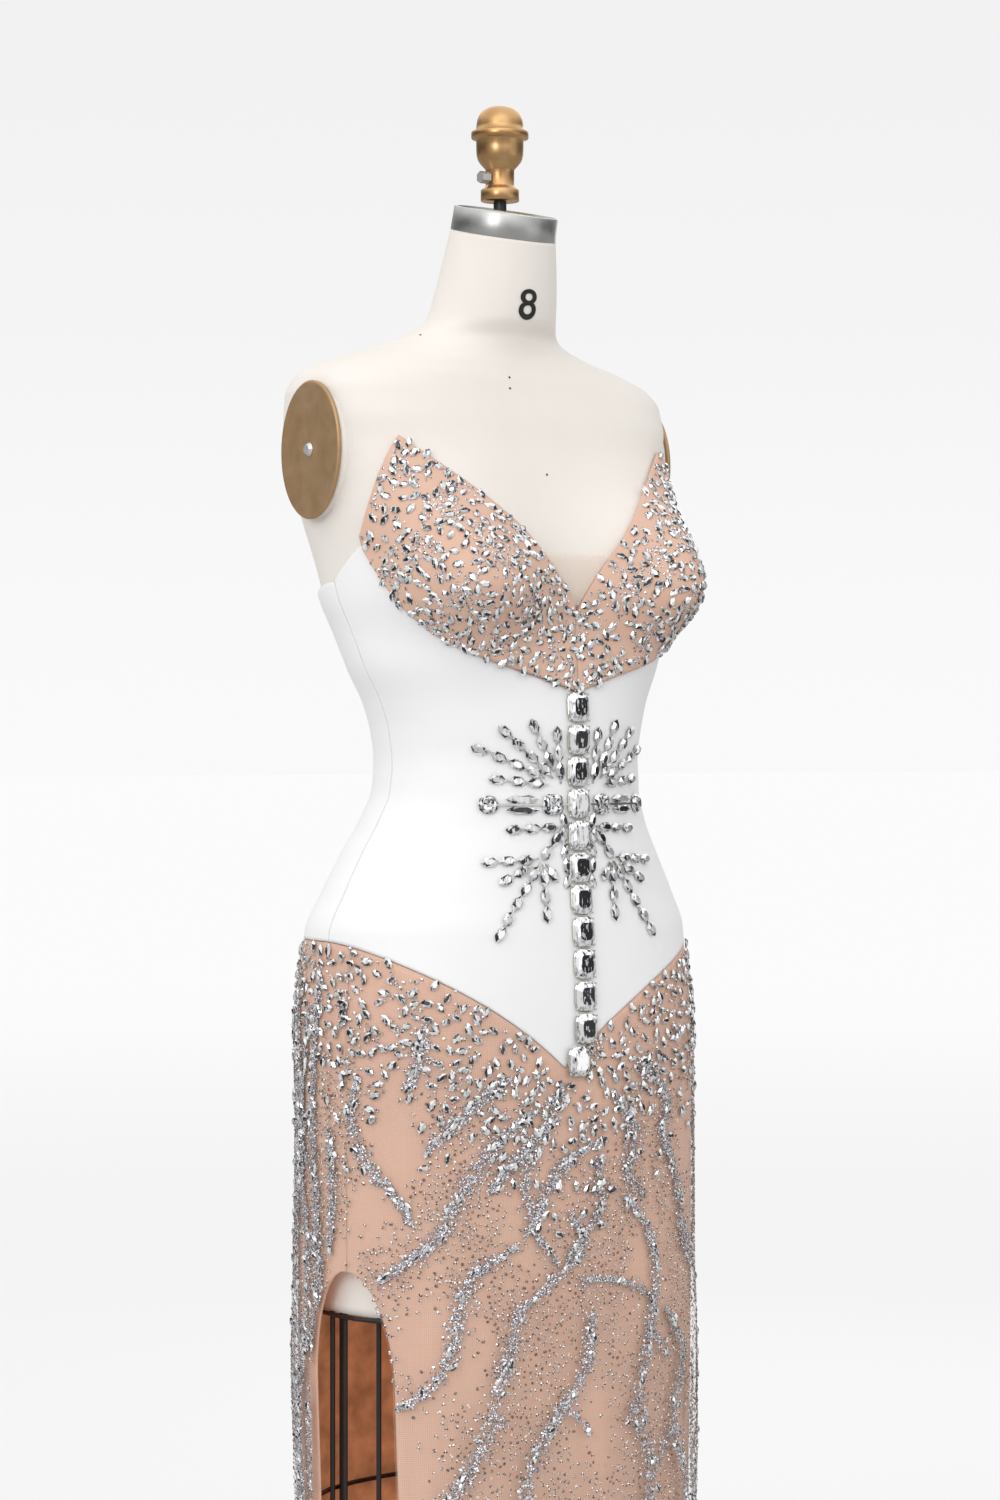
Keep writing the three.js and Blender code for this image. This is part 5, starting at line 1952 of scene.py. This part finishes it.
@dataclass
class Ornament(Assembly):
    """The jewelled spray on the bodice: a column of square-cut stones, a cross bar and leafy twigs."""

    foot: float = 1.9
    column_top: float = 1131.9
    column_pitch: float = 27.6
    column_count: int = 12
    bend_level: float = 860.0
    bend_drop: float = 34.0
    bend_across: float = -9.0
    bend_lifts: tuple[float, float] = (1.3, 2.6)
    pale_stones: tuple[int, ...] = (3, 4, 11)
    pale_tint: float = 0.068
    bar_level: float = 1048.0
    square_x: float = 26.0
    leaf_x: float = 53.0
    ring_x: float = 79.0
    stem_x: float = 46.0
    stem_half: float = 38.0
    twig_pitch: float = 15.5
    claw_across: float = 9.8
    claw_up: float = 11.2
    upper: tuple[Twig, ...] = (
        Twig(17, 1064, 84, 13, 3), Twig(17, 1064, 63, 26, 3), Twig(17, 1064, 43, 22, 4),
        Twig(17, 1064, 25, 28, 4), Twig(17, 1064, 6, 24, 3),
    )
    lower: tuple[Twig, ...] = (
        Twig(16, 1029, -3, 14, 3), Twig(16, 1029, -52, 13, 2), Twig(37, 1002, -4, 16, 3),
        Twig(37, 1002, -28, 24, 2), Twig(37, 1002, -55, 16, 5), Twig(37, 1002, -90, 17, 3),
        Twig(37, 1002, -122, 17, 1),
    )
    hugging: tuple[tuple[float, float, float], ...] = (
        (15.2, 1034, 72), (16.4, 1021, 90), (15.2, 1008, 108), (14.2, 995, 84), (13.4, 982, 112),
    )

    @staticmethod
    def seat(x: Array, z: Array, distance: float) -> tuple[Array, Array]:
        """Points on the bodice's front at a distance across and a level.

        Args:
            x: Distances across from the centre front.
            z: Levels.
            distance: How far off the form's surface.

        Returns:
            The points and the cloth's normals.
        """
        x, z = np.broadcast_arrays(np.asarray(x, float), np.asarray(z, float))
        low, high = np.full(x.shape, -85 * DEGREE), np.full(x.shape, 85 * DEGREE)
        for _ in range(30):
            middle = (low + high) / 2
            short = SHAPE.body(middle, z)[..., 0] < x
            low, high = np.where(short, middle, low), np.where(short, high, middle)
        return stand_off(SHAPE.body, (low + high) / 2, z, distance + 0 * x)

    def lay(
        self, name: str, cut: StoneCut, spots: Sequence[Spot], finish: str,
        *nodes: str,
    ) -> Thing:
        """Lays stones at places across and up, each turned by its slant.

        Args:
            name: The piece's name.
            cut: The stone.
            spots: The stones' places.
            finish: The stones' finish.
            *nodes: CAD nodes that the stones stand for.

        Returns:
            The stones as one piece.
        """
        table = np.array([(spot.x, spot.z, spot.slant, spot.lift, spot.length) for spot in spots])
        points, normal = self.seat(table[:, 0], table[:, 1], self.foot + table[:, 3])
        across = unit(np.cross(np.array([0.0, 0.0, 1.0]), normal))
        up = np.cross(normal, across)
        slant = table[:, 2] * DEGREE
        along = across * np.cos(slant)[:, None] + up * np.sin(slant)[:, None]
        size = np.stack([table[:, 4], np.ones(len(table)), np.ones(len(table))], axis=-1)
        bed = StoneBed()
        order = np.arange(len(table))
        pale = np.where(np.isin(order, self.pale_stones), self.pale_tint, 0.0)
        tint = pale if cut.stepped else (order * GOLDEN + 0.2) % 1
        bed.add(points, normal, along, size, tint)
        return place_piece(bed.lay(name, self.beading, cut, self.wardrobe[finish]), "crystal", *nodes)

    def column(self) -> list[Spot]:
        """The column's stones, the last ones bent aside and lifted over the hip seam.

        Returns:
            One place for each stone.
        """
        lifts = [0.0] * (self.column_count - len(self.bend_lifts)) + list(self.bend_lifts)
        spots = []
        for step, lift in enumerate(lifts):
            z = self.column_top - self.column_pitch * step
            across = self.bend_across * float(smooth((self.bend_level - z) / self.bend_drop))
            spots.append(Spot(across, z, 0.0, lift))
        return spots

    def claws(self, spots: Sequence[Spot]) -> list[Spot]:
        """The four small claws of each square-cut stone.

        Args:
            spots: Places of the stones.

        Returns:
            Four places for each stone.
        """
        signs = [(a, b) for a in (-1, 1) for b in (-1, 1)]
        return [
            Spot(spot.x + a * self.claw_across, spot.z + b * self.claw_up, 0.0, spot.lift + 2.4)
            for spot in spots for a, b in signs
        ]

    def spray(self, twigs: Sequence[Twig], s: int) -> tuple[list[Spot], list[Spot]]:
        """The stones of one side's twigs and the stems that join them.

        Args:
            twigs: The twigs.
            s: The sign of the side.

        Returns:
            The stones' and the stems' places.
        """
        stones, stems = [], []
        for twig in twigs:
            slant = twig.slant if s > 0 else 180 - twig.slant
            ahead, up = s * math.cos(twig.slant * DEGREE), math.sin(twig.slant * DEGREE)
            for stone in range(twig.stones):
                reach = twig.first + stone * self.twig_pitch
                stones.append(Spot(s * twig.x + ahead * reach, twig.z + up * reach, slant))
            first, last = max(twig.first - 12, 2), twig.first + (twig.stones - 1) * self.twig_pitch
            middle, half = (last + first) / 2, (last - first) / 2
            size = half / STEM.half_length
            stems.append(Spot(s * twig.x + ahead * middle, twig.z + up * middle, slant, 0.0, size))
        return stones, stems

    def build(self) -> None:
        """Builds the column, the bar and the sprays."""
        column = self.column()
        self.lay("column_stones", COLUMN_STONE, column, "deep_glass", "jewel_column")
        self.lay("column_rims", COLUMN_RIM, column, "stone_setting")
        self.lay("column_claws", BEAD, self.claws(column), "stone_setting")
        for side in Side:
            self.build_side(side)

    def build_side(self, side: Side) -> None:
        """Builds one side's bar, sprays and the small stones that hug the column.

        Args:
            side: The wearer's side.
        """
        s, word = side.value, side.word
        bar = f"jewel_bar_{word}"
        square, ring = Spot(self.square_x * s, self.bar_level), Spot(self.ring_x * s, self.bar_level)
        self.lay(f"bar_square_{word}", SQUARE_STONE, [square], "deep_glass", bar)
        leaves = [Spot(self.leaf_x * s, self.bar_level + lift) for lift in (-4.6, 4.6)]
        self.lay(f"bar_leaves_{word}", LEAF_STONE, leaves, "foiled_glass")
        self.lay(f"bar_round_{word}", ROUND_STONE, [ring], "deep_glass")
        stem = Spot(self.stem_x * s, self.bar_level, 0.0, 0.0, self.stem_half / STEM.half_length)
        self.lay(f"bar_stem_{word}", STEM, [stem], "stone_setting")
        hugging = [Spot(x * s, z, slant if s > 0 else 180 - slant) for x, z, slant in self.hugging]
        self.lay(f"hugging_stones_{word}", HUG_STONE, hugging, "foiled_glass")
        for place, twigs in (("upper", self.upper), ("lower", self.lower)):
            stones, stems = self.spray(twigs, s)
            node = f"jewel_spray_{place}_{word}"
            self.lay(f"spray_{place}_{word}", TWIG_STONE, stones, "foiled_glass", node)
            self.lay(f"stems_{place}_{word}", STEM, stems, "stone_setting")


@dataclass
class ZipTeeth(Assembly):
    """The small teeth of the closed zip down the centre back."""

    foot: float = 935.0
    top: float = 1213.0
    pitch: float = 1.7
    half_gap: float = 0.55
    stand: float = 1.35

    def build(self) -> None:
        """Lays the teeth on the zip's chain, left and right by turns."""
        level = np.arange(self.foot, self.top, self.pitch)
        turn = np.full(level.shape, math.pi)
        points, normal = stand_off(SHAPE.body, turn, level, np.full(level.shape, self.stand))
        points[:, 0] += self.half_gap * np.where(np.arange(len(level)) % 2, 1, -1)
        across = np.broadcast_to(np.array([1.0, 0.0, 0.0]), points.shape)
        bed = StoneBed()
        bed.add(points, normal, across, np.ones(len(level)), np.zeros(len(level)))
        place_piece(bed.lay("zip_teeth", self.beading, TOOTH, self.wardrobe["zip_white"]), "zip_tape")


@dataclass
class FormAssembly(Assembly):
    """What the torso and its hardware share: the neck's lean and top, and the place of the arm seats."""

    neck_tilt: float = 13.0
    neck_top: float = 1550.0
    arm_y: float = 29.0
    arm_level: float = 1354.0
    arm_face: float = 180.0


@dataclass
class FormTorso(FormAssembly):
    """The canvas torso with its neck, its arm seats and the plain number on the neck."""

    inset: float = 3.2
    bare_inset: float = 0.3
    bare_foot: float = 1240.0
    bare_over: float = 60.0
    neck_root: float = 1474.0
    bottom: float = 612.0
    arm_depth: float = 43.0
    arm_height: float = 58.5
    seat_root: float = 120.0
    canvas_radius: float = 150.0
    canvas_middle: float = 10.0
    number_size: float = 42.0
    number_width: float = 0.92
    number_x: float = -4.0
    number_level: float = 1487.0
    number_weight: float = 0.35
    number_depth: float = 0.15
    number_rise: float = 0.35
    turns: int = 160
    pins: tuple[tuple[float, float], ...] = ((-76, 1459), (-18, 1421), (-20, 1411), (1, 1335))

    def tilt_at(self, level: Array | float) -> Array:
        """How steeply the neck's level sections lean back."""
        share = smooth((level - self.neck_root) / (self.neck_top - self.neck_root))
        return math.tan(self.neck_tilt * DEGREE) * share

    def ring(self, level: float) -> Array:
        """One level ring of the torso, tilted more and more up the neck.

        Args:
            level: Level above the floor.

        Returns:
            The ring's points.
        """
        turn = np.linspace(-math.pi, math.pi, self.turns + 1)[:-1]
        inset = mix(self.inset, self.bare_inset, smooth((level - self.bare_foot) / self.bare_over))
        points = stand_off(SHAPE.body, turn, np.full(turn.shape, level), -inset)[0]
        tilt = self.tilt_at(level)
        side = FORM_SECTIONS.read(np.array(level), "side")
        points[:, 2] = level + (points[:, 1] - side) * tilt
        return points

    def build(self) -> None:
        """Builds the torso with its flat arm seats, its pin heads and the number."""
        parts = [(self.bottom, 1380, 100), (1384, 1480, 40), (1484, self.neck_top, 24)]
        levels = np.concatenate([np.linspace(*part) for part in parts])
        rings = np.array([self.ring(level) for level in levels])
        torso = new_object("torso_canvas", rings.reshape(-1, 3), loft_faces(len(levels), self.turns))
        for side in Side:
            self.cut_seat(torso, side)
        corners = torso.data.vertices
        co = np.zeros(len(corners) * 3)
        corners.foreach_get("co", co)
        co = co.reshape(-1, 3) / MM
        around = np.arctan2(co[:, 0], -(co[:, 1] - self.canvas_middle)) * self.canvas_radius
        add_map(torso, np.stack([around, co[:, 2]], axis=-1))
        place_piece(self.wardrobe.dress(torso, "linen_canvas"), "canvas", "form_torso")
        self.number()
        self.pin_heads()

    def pin_heads(self) -> None:
        """Puts the few small pin heads on the chest."""
        table = np.array(self.pins)
        points, normal = Ornament.seat(table[:, 0], table[:, 1], -0.4)
        bed = StoneBed()
        bed.add(points, normal, np.roll(normal, 1, axis=1), np.full(len(table), 0.75), np.zeros(len(table)))
        place_piece(bed.lay("pin_heads", self.beading, BEAD, self.wardrobe["black_wire"]), "black_wire")

    def cut_seat(self, torso: Thing, side: Side) -> None:
        """Joins a flat oval seat for the arm plate to the torso.

        Args:
            torso: The torso.
            side: The wearer's side.
        """
        turns = np.arange(96) * 2 * math.pi / 96
        rings = []
        face = self.arm_face
        for x, share in ((self.seat_root, 1.0), (face - 2.5, 1.0), (face - 0.8, 0.985), (face, 0.95)):
            y = self.arm_y + self.arm_depth * share * np.cos(turns)
            z = self.arm_level + self.arm_height * share * np.sin(turns)
            rings.append(np.stack([np.full(turns.shape, side.value * x), y, z], axis=-1))
        if side is Side.RIGHT:
            rings = [ring[::-1] for ring in rings]
        seat = new_object("seat", np.concatenate(rings), loft_faces(4, 96))
        union = torso.modifiers.new("seat", "BOOLEAN")
        union.operation = "UNION"
        union.solver = "EXACT"
        union.object = seat
        depsgraph = bpy.context.evaluated_depsgraph_get()
        mesh = bpy.data.meshes.new_from_object(torso.evaluated_get(depsgraph), depsgraph=depsgraph)
        torso.modifiers.clear()
        torso.data = mesh
        mesh.name = torso.name
        mesh.polygons.foreach_set("use_smooth", [True] * len(mesh.polygons))
        bpy.data.objects.remove(seat)

    def number(self) -> None:
        """The plain size number printed on the neck."""
        curve = bpy.data.curves.new("number", "FONT")
        curve.body = "8"
        curve.align_x = "CENTER"
        curve.align_y = "CENTER"
        curve.size = self.number_size * MM
        curve.offset = self.number_weight * MM
        curve.extrude = self.number_depth * MM
        thing = bpy.data.objects.new("number_eight", curve)
        bpy.context.scene.collection.objects.link(thing)
        depsgraph = bpy.context.evaluated_depsgraph_get()
        mesh = bpy.data.meshes.new_from_object(thing.evaluated_get(depsgraph), depsgraph=depsgraph)
        bpy.data.objects.remove(thing)
        co = np.zeros(len(mesh.vertices) * 3)
        mesh.vertices.foreach_get("co", co)
        co = co.reshape(-1, 3) / MM
        middle = (co.max(0) + co.min(0)) / 2
        x = (co[:, 0] - middle[0]) * self.number_width + self.number_x
        z = self.number_level + (co[:, 1] - middle[1])
        seated, normal = Ornament.seat(x, z, 0.0)
        points = seated + normal * (self.number_rise + co[:, 2])[:, None]
        side = FORM_SECTIONS.read(z, "side")
        tilt = self.tilt_at(z)
        points[:, 2] += (points[:, 1] - side) * tilt
        faces = [list(polygon.vertices) for polygon in mesh.polygons]
        piece = self.wardrobe.dress(new_object("number_eight", points, faces, rounded=False), "number_ink")
        place_piece(piece, "black_wire")


@dataclass
class Hardware(FormAssembly):
    """Arm plates, neck band, finial, stand and cage of the form."""

    band_radius: float = 47.0
    band_height: float = 21.0
    band_gap: float = 0.3
    arm_plate: tuple[float, float, float] = (44.5, 60.0, 4.0)
    plate_rim: float = 1.4
    plate_gap: float = 0.3

    def build(self) -> None:
        """Builds the turned parts and dresses the carried-over ones."""
        self.build_plates()
        self.build_band()
        self.build_finial()
        self.build_stand()
        self.dress_nodes()

    def build_plates(self) -> None:
        """Builds the oval arm plates with rounded rims."""
        depth, height, thickness = self.arm_plate
        rim = self.plate_rim
        profile = [
            (0, 0), (1 - 1 / depth, 0), (1, 0.7), (1, thickness - rim),
            (1 - 0.4 * rim / depth, thickness - 0.4 * rim), (1 - rim / depth, thickness),
            (1 - 2.2 * rim / depth, thickness - 0.25), (0, thickness - 0.1),
        ]
        for side in Side:
            plate = turned_object(f"arm_plate_{side.word}_brass", profile, 96)
            for vertex in plate.data.vertices:
                x, y, z = vertex.co / MM
                out = side.value * (self.arm_face + self.plate_gap + z)
                back = self.arm_y + side.value * y * depth
                vertex.co = Vector((out, back, self.arm_level + x * height)) * MM
            place_piece(self.wardrobe.dress(plate, "plate_brass"), "brass", f"arm_plate_{side.word}")

    def build_band(self) -> None:
        """Builds the neck band as a ring round a sunk cap, tilted with the neck."""
        foot = self.band_gap
        top = foot + self.band_height
        radius = self.band_radius
        profile = [
            (0, foot), (radius, foot), (radius - 0.7, top - 0.5), (radius - 1.1, top),
            (radius - 2.4, top), (radius - 2.7, top - 2), (0, top - 2),
        ]
        band = turned_object("neck_band_steel", profile, 120)
        tilt = self.neck_tilt * DEGREE
        seat = np.array([0, FORM_SECTIONS.read(np.array(self.neck_top), "side"), self.neck_top])
        for vertex in band.data.vertices:
            x, y, z = vertex.co / MM
            place = (x, y * math.cos(tilt) - z * math.sin(tilt), y * math.sin(tilt) + z * math.cos(tilt))
            vertex.co = Vector(np.array(place) + seat) * MM
        place_piece(self.wardrobe.dress(band, "brushed_steel"), "steel", "neck_band")
        round_off(band, 0.3, 2, 50)

    def build_finial(self) -> None:
        """Builds the turned finial with its collar, bulb, rim and dome."""
        profile = [
            (0, 1581), (16.6, 1581), (17.1, 1581.6), (17.1, 1590.4), (16.6, 1591.2), (13.4, 1593.6),
            (12.75, 1594.8), (12.75, 1608), (13.2, 1609.4), (15.6, 1612), (18.2, 1615), (19.8, 1618),
            (20.8, 1622), (21.1, 1627), (21.1, 1634.6), (21.6, 1635.6), (24.9, 1636.3), (25.5, 1637.2),
            (25.5, 1641.8), (24.9, 1642.7), (22, 1643.2), (21.4, 1643.6),
        ]
        steps = 12
        for step in range(1, steps):
            angle = step / steps * math.pi / 2
            profile.append((21.1 * math.cos(angle) ** 0.72, 1643.5 + 21.5 * math.sin(angle) ** 0.78))
        profile.append((0, 1665))
        finial = turned_object("finial_brass", profile, 96)
        place_piece(self.wardrobe.dress(finial, "satin_brass"), "brass", "finial")

    def build_stand(self) -> None:
        """Builds the round base with soft edges."""
        profile = [
            (0, 0), (128, 0), (130, 2), (130, 11), (128.8, 13), (126, 14), (60, 15.6), (34, 18),
            (27, 22), (24.4, 30), (24, 43.7), (0, 43.7),
        ]
        base = turned_object("stand_base_iron", profile, 120)
        place_piece(self.wardrobe.dress(base, "black_wire"), "iron_base", "stand_base")

    def dress_nodes(self) -> None:
        """Dresses the CAD nodes that stay."""
        finishes = {
            "arm_screw": "bright_steel", "finial_rod": "black_wire", "finial_screw": "bright_steel",
            "cage": "black_wire", "stand_pole": "black_wire", "zip_slider": "bright_steel",
            "zip_tab": "bright_steel", "zip_chain": "zip_white",
        }
        for name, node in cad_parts.items():
            for start, finish in finishes.items():
                if name.startswith(start):
                    self.wardrobe.dress(node, finish)


@dataclass
class Studio:
    """Pale floor, soft lights and the camera at the photo's angle."""

    azimuth: float = -37.0
    distance: float = 3.19
    eye_level: float = 1.095
    lens: float = 86.4
    floor_reach: float = 130.0
    lights: tuple[tuple[str, float, tuple[float, float, float], float], ...] = (
        ("key", 31.0, (-3.6, -2.2, 2.4), 1.5),
        ("rim", 10.0, (2.8, 2.2, 2.4), 1.6),
        ("fill", 9.0, (1.9, -3.4, 1.6), 2.4),
    )
    seen_high: float = 0.885
    seen_level: float = 0.95
    ambient: float = 0.87
    towards_key: float = 0.46
    key_way: tuple[float, float, float] = (-0.84, -0.45, 0.3)
    floor_glow_near: float = 0.4
    floor_glow_far: float = 0.49
    mirror_bands: tuple[tuple[float, float], ...] = (
        (0.0, 0.5), (0.075, 0.35), (0.2, 0.12), (0.72, 0.12), (0.87, 1.0), (0.95, 1.3),
        (0.985, 0.8), (1.0, 0.7),
    )

    def build(self) -> None:
        """Builds the floor, the lights, the world and the camera."""
        self.build_camera()
        self.build_floor()
        self.build_world()
        for name, power, place, size in self.lights:
            light = bpy.data.lights.new(name, "AREA")
            light.energy = power
            light.size = size
            lamp = bpy.data.objects.new(name, light)
            lamp.location = place
            towards = Vector((0, 0, 1.0)) - Vector(place)
            lamp.rotation_euler = towards.to_track_quat("-Z", "Y").to_euler()
            lamp.visible_camera = False
            bpy.context.scene.collection.objects.link(lamp)

    def build_camera(self) -> None:
        """The camera, level with the gown's waist."""
        angle = self.azimuth * DEGREE
        camera = bpy.data.cameras.new("camera")
        camera.lens = self.lens
        camera.sensor_width = 36.0
        camera.clip_end = 200.0
        view = bpy.data.objects.new("camera", camera)
        view.location = (math.sin(angle) * self.distance, -math.cos(angle) * self.distance, self.eye_level)
        ahead = Vector((-view.location.x, -view.location.y, 0))
        view.rotation_euler = ahead.to_track_quat("-Z", "Y").to_euler()
        bpy.context.scene.collection.objects.link(view)
        bpy.context.scene.camera = view

    def build_floor(self) -> None:
        """A plain pale floor that reaches to the horizon and melts into the background."""
        reach = self.floor_reach / MM
        signs = np.array([(-1, -1, 0), (1, -1, 0), (1, 1, 0), (-1, 1, 0)], float)
        floor = new_object("floor", signs * reach, [[0, 1, 2, 3]])
        material = bpy.data.materials.new("pale_floor")
        material.use_nodes = True
        tree = material.node_tree
        shader = tree.nodes["Principled BSDF"]
        shader.inputs["Base Color"].default_value = (0.5, 0.5, 0.5, 1)
        shader.inputs["Roughness"].default_value = 0.95
        shader.inputs["Specular IOR Level"].default_value = 0.0
        shader.inputs["Emission Color"].default_value = (1, 1, 1, 1)
        path = tree.nodes.new("ShaderNodeLightPath")
        place = tree.nodes.new("ShaderNodeTexCoord").outputs["Object"]
        far = add_node(tree, "ShaderNodeVectorMath", {0: place}, operation="LENGTH").outputs["Value"]
        fading = self._range(tree, far, (2.0, 14.0), (self.floor_glow_near, self.floor_glow_far))
        glow = math_node(tree, "MULTIPLY", path.outputs["Is Camera Ray"], fading)
        tree.links.new(glow, shader.inputs["Emission Strength"])
        floor.data.materials.append(material)

    def build_world(self) -> None:
        """Pale to the camera, brighter towards the key light, and banded where metal mirrors it."""
        world = bpy.data.worlds.new("studio")
        world.use_nodes = True
        tree = world.node_tree
        back = tree.nodes["Background"]
        back.inputs["Strength"].default_value = 1.0
        place = tree.nodes.new("ShaderNodeTexCoord").outputs["Object"]
        path = tree.nodes.new("ShaderNodeLightPath")
        lit = self._towards(tree, place, self.key_way)
        scaled = math_node(tree, "MULTIPLY_ADD", lit, self.towards_key, self.ambient)
        angle = self.azimuth * DEGREE
        towards_camera = self._towards(tree, place, (math.sin(angle), -math.cos(angle), 0.0))
        shifted = math_node(tree, "MULTIPLY_ADD", towards_camera, 0.5, 0.5)
        bands = ramp_node(tree, shifted, [(spot, (value,) * 3) for spot, value in self.mirror_bands])
        overhead = self._towards(tree, place, (0.0, 0.0, 1.0))
        ceiling = self._range(tree, overhead, (0.2, 0.55), (0.0, 1.2))
        mirrored = math_node(tree, "ADD", bands, ceiling)
        first = self._choose(tree, path.outputs["Is Glossy Ray"], scaled, mirrored)
        seen = self._range(tree, overhead, (0.0, 0.2), (self.seen_level, self.seen_high))
        last = self._choose(tree, path.outputs["Is Camera Ray"], first, seen)
        tree.links.new(last, back.inputs["Color"])
        bpy.context.scene.world = world
        bpy.context.scene.view_settings.view_transform = "Standard"

    @staticmethod
    def _towards(tree: NodeTree, place: Socket, way: tuple[float, float, float]) -> Socket:
        """How nearly a ray goes one way, from -1 to 1."""
        node = add_node(tree, "ShaderNodeVectorMath", {0: place, 1: way}, operation="DOT_PRODUCT")
        return node.outputs["Value"]

    @staticmethod
    def _range(
        tree: NodeTree, value: Socket, source: tuple[float, float], target: tuple[float, float],
    ) -> Socket:
        """A value eased from one range into another.

        Args:
            tree: The node tree.
            value: The value's socket.
            source: The range that it comes in.
            target: The range that it gets.

        Returns:
            The eased value's socket.
        """
        limits = dict(zip(("From Min", "From Max", "To Min", "To Max"), source + target))
        node = add_node(
            tree, "ShaderNodeMapRange", {**limits, "Value": value}, interpolation_type="SMOOTHSTEP"
        )
        return node.outputs[0]

    @staticmethod
    def _choose(tree: NodeTree, share: Socket, otherwise: Socket, chosen: Socket) -> Socket:
        """One value where the share is one, and another elsewhere."""
        inputs = {"Factor": share, "A": otherwise, "B": chosen}
        return add_node(tree, "ShaderNodeMix", inputs, data_type="FLOAT").outputs["Result"]


def main() -> None:
    """Builds the gown and its form."""
    logging.basicConfig(level=logging.INFO, format="%(name)s %(message)s")
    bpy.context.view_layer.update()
    wardrobe = Wardrobe()
    beading = Beading()
    Studio().build()
    kinds = (FormTorso, Hardware, Bodice, Cups, PlungeNet, Skirt, SkirtBeading, Ornament, ZipTeeth)
    for kind in kinds:
        kind(wardrobe, beading).build()
        log.info("built %s", kind.__name__)


if __name__ == "__main__":
    main()
